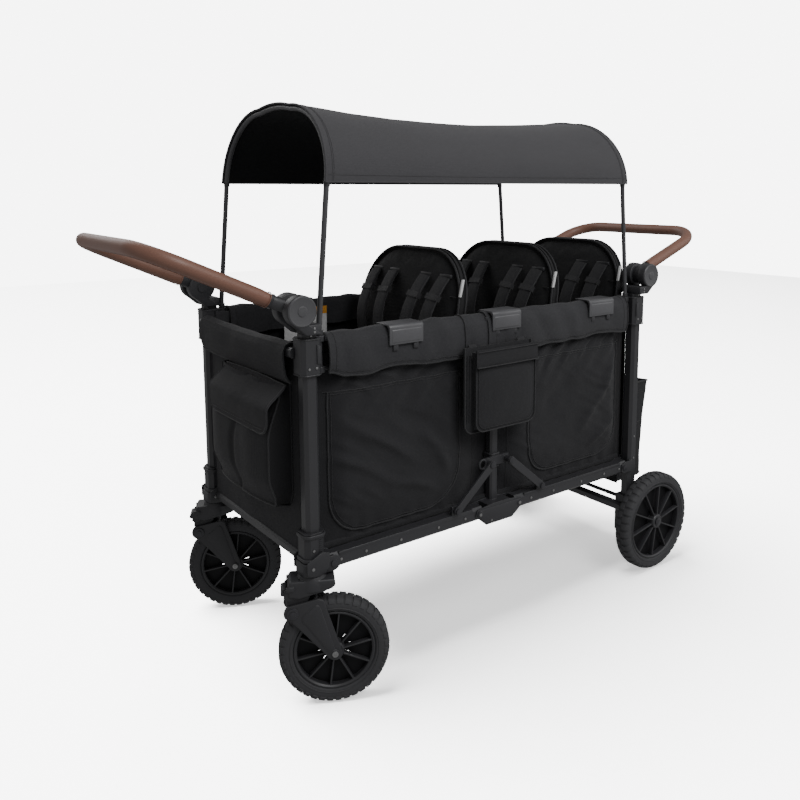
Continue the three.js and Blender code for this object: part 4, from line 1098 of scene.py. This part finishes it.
STRAPS = (-158, -74, 74, 158)
STRAP_SECTION = [(22.5 * rounded(cos(t), 0.55), 5.2 * rounded(sin(t), 0.7)) for t in angles(20)]
for i, foot in enumerate(SEATS):
    back = Piece(f"seat_back_{i + 1}")
    back.add(leaned(copy_of(back_pad_mesh), foot), SEAT)
    for depth in (4.5, 28.5):
        back.seam([(foot + depth + lean_x(z), a, z) for a, z in back_outline(-1.5)], 3.0)

    def board(u, v):
        z = SEAT_FOOT + 4 + (SEAT_TOP - SEAT_FOOT - 7) * v
        return (foot + 21 + lean_x(z), (2 * u - 1) * (back_half_width(z - SEAT_FOOT) - 3), z)

    def binding(u, v):
        a, z = edge[round(u * (len(edge) - 1))]
        return (foot + 5 + 23 * v + lean_x(z), a, z)

    edge = back_outline(-3.5)
    back.add(grid(board, 16, 60, thick=9, outward=(1, 0, 0)), SEAT)
    back.add(grid(binding, len(edge) - 1, 3, thick=1.5), SEAT)
    for dz, half in ((0, 210), (150, 214), (300, 214)):
        z = SEAT_FOOT + 90 + dz
        back.seam([(foot + lean_x(z) - 1.5 + 1.5 * abs(a) / half, a, z) for a in range(-half, half + 1, 14)], 1.3, 6)
    # white side tag, left blank
    tag = [(foot + lean_x(b) + a, b) for a, b in ((0, 896), (0, 940), (7, 940), (7, 896))]
    back.add(prism(tag, -SEAT_HALF - 1.8, -SEAT_HALF + 4, r=0.4), TAG)
    squash(back.done("rear_frame", "seat_cloth", f"seat_{i + 1}"))

    bench = Piece(f"seat_bench_{i + 1}")
    bench.add(copy_of(bench_pad_mesh), SEAT, Matrix.Translation((foot, 0, 0)))
    rim = [(0, -220), (-222, -220), (-230, -212), (-230, 212), (-222, 220), (0, 220)]
    for z in (546, 513):
        bench.seam([(foot + a, b, z) for a, b in rim], 2.6)
    bench.seam([(foot - 226 + 22 * j, 0, 558) for j in range(10)], 1.5, 6)
    squash(bench.done("rear_frame", "seat_cloth"))

    straps = Piece(f"shoulder_straps_{i + 1}")
    for a in STRAPS:
        path = []
        for share in shares(14):
            z = 940 - 198 * share
            bow = 5 + 17 * sin(pi * min(1, share * 1.15)) ** 0.8 + 38 * share
            path.append((foot + lean_x(z) - bow, a - copysign(15, a) * share, z))
        straps.add(sweep(path, STRAP_SECTION, up=(-1, 0, 0.1)), PAD)
        for side in (-22.2, 22.2):
            straps.seam([(x - 1.0, yy + side, z) for x, yy, z in path], 1.5, 6)
        # slot it comes out of, keeper loop and the webbing below the pad
        slot_x = foot + lean_x(944)
        straps.add(block(slot_x - 4, slot_x + 4, a - 24, a + 24, 939, 949, r=2), PLASTIC)
        straps.add(sweep([path[3], path[4]], band(48, 14), up=(-1, 0, 0.1)), WEBBING)
        x, yy, z = path[-1]
        tail = ((x, z + 8), (x - 2, z - 40), (x - 4, 640), (foot - 40, 585), (foot - 58, 572))
        straps.add(sweep([(b, yy, c) for b, c in tail], band(24, 1.6), up=(-1, 0, 0.2)), WEBBING)
        straps.add(block(x - 9, x + 1, yy - 15, yy + 15, z - 34, z - 14, r=2.5), PLASTIC)
    for a in (-116, 116):
        straps.add(block(foot - 92, foot - 46, a - 24, a + 24, 560, 573, r=5), PLASTIC)
        lap = [(foot - 92, a, 566), (foot - 130, a, 564), (foot - 170, a, 561)]
        straps.add(sweep(lap, band(26, 1.8), up=(0, 0, 1)), WEBBING)
    squash(straps.done("rear_frame", "seat_cloth"))

# a blank care card hangs inside the far wall
card = Piece("care_card")
card.add(block(-352, -214, 232, 233.2, 742, 812, r=0.4), TAG)
card.add(block(-352, -214, 231.4, 232.2, 812, 834, r=0.3), ORANGE)
squash(card.done("rear_frame", "black_cloth"))

# ------------------------------------------------------------------ wheels: treaded foam tyres on ten-spoke rims
LUGS, SPOKES = 40, 10
REAR_AXLE_X, REAR_RADIUS = 612, 150
FRONT_AXLE, ARM_PIVOT = (48, 0, 127), (-45, 0, 232)  # from the caster's swivel axis


def wheel(label, side_sign, centre, radius, width, hub, tyre_node, rim_node, body, place=None):
    cx, cy, cz = centre
    half = width / 2
    at = (cx, 0, cz)

    def spun(piece, finish, profile, s=1, n=72, **part):
        piece.add(turned([(r, cy + s * a) for r, a in profile], at, n=n, **part), finish, place)

    tyre_piece = Piece("tyre_" + label)
    bead = radius - 33.2
    profile = [(bead, half - 6), (bead + 3, half - 2.5), (bead + 12, half - 0.6), (radius - 12, half - 1.2),
               (radius - 5.5, half - 5), (radius - 2.9, half - 11), (radius - 2.5, 0)]
    spun(tyre_piece, TYRE, profile + [(r, -a) for r, a in reversed(profile[:-1])])
    spun(tyre_piece, TYRE, [(bead + 8 + a, side_sign * (half - 1.0) + b) for a, b in ring(1.2, 6)])
    lug = [(radius - 6, 1.5), (radius - 0.2, 2.2), (radius - 0.2, half * 0.50), (radius - 2.6, half * 0.78),
           (radius - 7.5, half - 1.2), (radius - 12, half + 0.1), (radius - 14, half - 1.8), (radius - 8, half - 5.5)]
    pitch = 360 / LUGS
    for s in (-1, 1):
        # each shoulder block wraps from the crown down to the sidewall, half a pitch apart on the two sides
        for k in range(LUGS):
            spun(tyre_piece, TYRE, lug, s, 2, start=pitch * (k + (0.5 if s > 0 else 0)), turn=pitch * 0.68)
    tyre_piece.done(body, "tyre_foam", tyre_node, sharp=32)
    rim_piece = Piece("rim_" + label)
    outer = radius - 33.6
    lip = [(outer, half - 7), (outer - 0.5, half - 4), (outer - 4, half - 3), (outer - 7.5, half - 6),
           (outer - 8.5, 6), (outer - 6, 0), (outer, 0)]
    for s in (-1, 1):
        spun(rim_piece, WHEEL, lip, s)
    drum = [(hub, half - 4), (hub + 3, half + 0.6), (19, half + 0.6), (21.5, half - 2), (23, half - 10), (23, 0)]
    spun(rim_piece, WHEEL, drum + [(r, -a) for r, a in reversed(drum)], n=48)
    bar = [(20, half - 3.5), (outer - 6, half - 5.5), (outer - 5, half - 19), (20, half - 16)]
    for s in (-1, 1):
        for k in range(SPOKES):
            angle = 2 * pi * (k + 0.3) / SPOKES
            turn_to = Matrix.Translation(at) @ Matrix.Rotation(-angle, 4, "Y")
            spoke = prism([(r, cy + s * a) for r, a in bar], -1.9, 1.9, axis="z", r=0.7)
            rim_piece.add(spoke, WHEEL, (place or Matrix.Identity(4)) @ turn_to)
    for k in range(SPOKES):
        # the inner web, near black as painted shade, leaves a small window beside each spoke near the drum
        start = 360 * (k + 0.3) / SPOKES + 3.2
        spun(rim_piece, SHADED_WEB, [(22, 3), (39, 3), (39, -3), (22, -3)], n=6, start=start, turn=29.5)
    spun(rim_piece, SHADED_WEB, [(38, 3), (outer - 5, 2), (outer - 5, -2), (38, -3)])
    rim_piece.done(body, "wheel_plastic", rim_node, sharp=32)


for side, y in SIDES:
    wheel("rear_" + side, y, (REAR_AXLE_X, y * 322, REAR_RADIUS), REAR_RADIUS, 48, 9, "rear_tyre_" + side,
          "rear_rim_" + side, "rear_wheel_" + side)
    cap = Piece("rear_axle_cap_" + side)
    dome = [(r, y * a) for r, a in ((0.1, 347), (11, 347), (12, 349), (9, 351), (0.1, 351.6))]
    cap.add(turned(dome, (REAR_AXLE_X, 0, REAR_RADIUS), n=28), DARK_BOLT)
    cap.done("rear_frame", "moulded_plastic")
    caster = Matrix.Translation((-POST_X, y * POST_Y, 0)) @ Matrix.Rotation(radians(-27), 4, "Z")
    wheel("front_" + side, y, FRONT_AXLE, 127, 44, 7, "front_tyre_" + side, "front_rim_" + side,
          "front_wheel_" + side, caster)

    arms = Piece("caster_fork_" + side)
    hull = arc(-45, 232, 20, 128, 262, 10) + arc(48, 127, 17, -138, 25, 12) + arc(12, 246, 15, 28, 112, 8)
    rib = arc(-12, 216, 13, 100, 250, 6) + arc(40, 136, 8, -138, 25, 6) + arc(8, 238, 9, 28, 110, 5)
    hexagon = ((0.1, 36.4), (3.4, 36.4), (3.4, 38.2), (2.2, 38.2), (2.0, 37.0), (0.1, 37.0))
    for s in (-1, 1):
        arms.add(prism(hull, s * 24.6, s * 31.4, r=2.2, segments=3), PLASTIC, caster)
        # raised rib along the middle, axle bolt with washer, pivot bolt with a deep collar
        arms.add(prism(rib, s * 31.0, s * 33.0, r=0.9), PLASTIC, caster)
        arms.bolt(48, 127, 9.5, s * 31, s * 34.2, 28, 1.0, PLASTIC, caster)
        arms.bolt(48, 127, 7.2, s * 34, s * 36.5, 24, 1.0, BOLT, caster)
        arms.add(turned([(r, s * a) for r, a in hexagon], FRONT_AXLE, n=6), BOLT, caster)
        arms.bolt(-45, 232, 13, s * 31, s * 35.0, 28, 1.6, DARK_BOLT, caster)
        arms.bolt(-45, 232, 7, s * 34.8, s * 38, 24, 1.4, DARK_BOLT, caster)
    for (x, _, z), finish in ((ARM_PIVOT, DARK_BOLT), (FRONT_AXLE, BOLT)):
        arms.add(cord_along([(x, a, z) for a in (-30, 0, 30)], 5.9, 14), finish, caster)
    arms.add(cord_along([(6, -26, 254), (6, 0, 256), (6, 26, 254)], 5.5, 12), PLASTIC, caster)
    arms.done("caster_arm_" + side, "moulded_plastic", "caster_arm_" + side)

    yoke = Piece("caster_housing_" + side)
    bearing = [(9, 276), (31, 276.5), (35, 280), (35.5, 292), (33, 304), (29, 311.4), (9, 311.4)]
    yoke.add(turned(bearing, (0, 0, 0), n=40, axis="z"), PLASTIC, caster)
    shell = [(-58, 241), (-52, 221), (-38, 219), (-24, 232), (-6, 262), (-2, 284), (-6, 305), (-34, 305), (-50, 288),
             (-60, 266)]
    yoke.add(prism(shell, -23.2, 23.2, r=3.2, segments=3, angle=20), PLASTIC, caster)
    roof = [(-52, 268), (-30, 263), (2, 271), (24, 276), (46, 284), (52, 290), (50, 305), (-50, 305), (-56, 290)]
    yoke.add(prism(roof, -31, 31, r=6, segments=3, angle=20), PLASTIC, caster)
    # wavy lower edge of the cowl and the lock's thumb tabs
    cowl = [(-64, 264), (-48, 257), (-36, 265), (-22, 262), (-10, 272), (6, 271), (22, 280), (24, 292), (10, 300),
            (-42, 298), (-62, 284)]
    for s in (-1, 1):
        yoke.add(prism(cowl, s * 22, s * 27.5, r=2.0), PLASTIC, caster)
        yoke.add(block(-58, -40, s * 27, s * 35, 284, 295, r=2.5), PLASTIC, caster)
        yoke.bolt(-20, 288, 4.2, s * 27, s * 29.2, finish=DARK_BOLT, matrix=caster)
    yoke.add(block(-68, -56, -18, 18, 266, 286, r=4), PLASTIC, caster)
    yoke.add(cord_along([(-66, a, 276) for a in (-24, -12, 0, 12, 24)], 4.5, 10), DARK_BOLT, caster)
    yoke.done(f"caster_{side}", "moulded_plastic", "caster_yoke_" + side)

    # socket: a wider shoe with a chevron lower edge under the long sleeve on the post
    socket = Piece("post_socket_" + side)
    shoe = [(-POST_X + a, y * POST_Y + b) for a, b in octagon(30.5, 18.3)]
    socket.add(prism(shoe, 313, 343, axis="z", r=3), PLASTIC)
    chevron = [(-583, 350), (-583, 322), (-566, 314), (-548, 313.5), (-528, 328), (-526, 362), (-545, 368)]
    # a cheek reaches back to the rail hinge on each side
    cheek = [(-540, 312), (-HINGE_X, 312)] + arc(-HINGE_X, RAIL_Z, 18, -90, 90, 10) + [(-540, 350)]
    middle = y * POST_Y
    for s in (-1, 1):
        socket.add(prism(chevron, middle + s * 30, middle + s * 33.5, r=1.6), PLASTIC)
        socket.bolt(-569, 334, 4, middle + s * 33, middle + s * 35.4, 18, 0.9)
        socket.add(prism(cheek, middle + s * 21.8, middle + s * 25.5, r=1.2), PLASTIC)
        socket.bolt(-HINGE_X, RAIL_Z, 8.5, middle + s * 25, middle + s * 28.5, 24, 1.2, DARK_BOLT)
    # bands round the sleeve, its ribbed window and a rivet
    for z in (349, 404):
        socket.add(belt(-POST_X, middle, z, 26.5, 15.9, ring(2.2, 8, 2.0)), PLASTIC)
    for k in range(9):
        socket.add(block(-549, -540, y * 296.5, y * 298.5, 357 + k * 5, 359.4 + k * 5, r=0.6), DARK_BOLT)
    socket.bolt(-562, 372, 3.2, y * 296.5, y * 299, bevel=0.7)
    socket.done("front_frame", "moulded_plastic")

# ------------------------------------------------------------------ top brackets, pole clips, levers and rivets
for name, sign in ENDS:
    for side, y in SIDES:
        clip = Piece(f"bracket_trim_{name}_{side}")
        post_x, px, py = sign * POST_X, sign * POLE_X, y * POLE_Y
        for z0, z1 in ((838, 852), (768, 782)):
            half_ring = [(7.4, 1), (8.4, 0), (11.0, 0), (12.0, 1.2)]
            profile = [(r, z0 + a) for r, a in half_ring] + [(r, z1 - a) for r, a in reversed(half_ring)]
            clip.add(turned(profile, (px, py, 0), n=36, axis="z"), PLASTIC)
        clip.add(block(sign * 494, sign * 512, py - 4, py + 4, 771, 781, r=2), PLASTIC)
        clip.add(block(sign * 484, sign * 500, py - 6, py + 6, 768, 784, r=3), PLASTIC)
        # open hook of the upper clip
        turns = [pi * (0.15 + 0.7 * i) for i in shares(10)]
        hook = [(px - sign * 18 * sin(a), py - 14 * cos(a) * y, 845) for a in turns]
        clip.add(sweep(hook, band(3.2, 10), up=(0, 0, 1)), PLASTIC)
        # lips of the clamp and its rivets
        for z in (770.5, 849.5):
            clip.add(belt(post_x, y * POST_Y, z, 25.6, 16, ring(1.6, 6)), PLASTIC)
        for dx, z in ((-9, 785), (9, 786)):
            clip.bolt(post_x + dx, z, 3.0, y * 296.6, y * 298.8)
        clip.bolt(post_x, 856.5, 2.4, y * 289.5, y * 291.4, 14, 0.6)
        lever = [(sign * a, b) for a, b in ((536, 795), (545, 795), (545, 838), (536, 834))]
        clip.add(prism(lever, y * 297, y * 299.5, r=0.8), PLASTIC)
        clip.done(f"{name}_frame", "moulded_plastic")

# ------------------------------------------------------------------ screws, caps and plates on the folding sides
for side, y in SIDES:
    for name, sign in ENDS:
        screws = Piece(f"rail_screws_{name}_{side}")
        for x in (118, 205, 320, 420, 488):
            screws.bolt(sign * x, RAIL_Z, 3.6, y * 289.6, y * 292.0, bevel=0.9)
        # raised flange along the rail's top outer edge
        screws.add(block(sign * 92, sign * 494, y * 283, y * 290.6, 339.5, 348.6, r=1.2), STEEL)
        screws.bolt(sign * 150, 360, 8, y * 302, y * 305, 22, 1.1, DARK_BOLT)
        screws.done(f"{name}_rails", "frame_steel")
    plate = Piece("hinge_trim_" + side)
    for x in (-70, 70):
        plate.bolt(x, RAIL_Z, 9, y * 293.2, y * 296.4, 26, 1.3, DARK_BOLT)
        plate.bolt(x, RAIL_Z, 4.5, y * 296, y * 297.4, 18, 0.7)
    plate.bolt(-30, 305, 3.0, y * 293.2, y * 295.4, 14)
    cover = [(-80, 327), (-46, 299), (42, 299), (80, 327), (72, 341), (-72, 341)]
    plate.add(prism(cover, y * 293.4, y * 294.8, r=0.9), PLASTIC)
    plate.done("centre_posts", "frame_steel")
    collar = Piece("collar_trim_" + side)
    for x in (-33, 33):
        collar.bolt(x, 458, 9, y * 300.9, y * 303.6, 24, 1.1, DARK_BOLT)
    for z in (441, 475):
        collar.add(belt(0, y * 257, z, 17.5, 11, ring(1.6, 6)), PLASTIC)
    loop = [(-52 + 11 * cos(a), y * 281, 458 + 12 * sin(a)) for a in angles(24)]
    collar.add(sweep(loop, ring(3.0, 8), closed=True, up=(0, 1, 0)), PLASTIC)
    collar.done("brace_collars", "moulded_plastic")
    caps = Piece("rear_post_trim_" + side)
    for z in (236, 352, 420):
        caps.bolt(POST_X, z, 3.2, y * 289.4, y * 291.6)
    caps.bolt(HINGE_X, RAIL_Z, 8.5, y * 293.4, y * 296.6, 24, 1.2, DARK_BOLT)
    caps.done("rear_frame", "frame_steel")

# ------------------------------------------------------------------ finish
squash(sheet_object)
squash(trim_object)
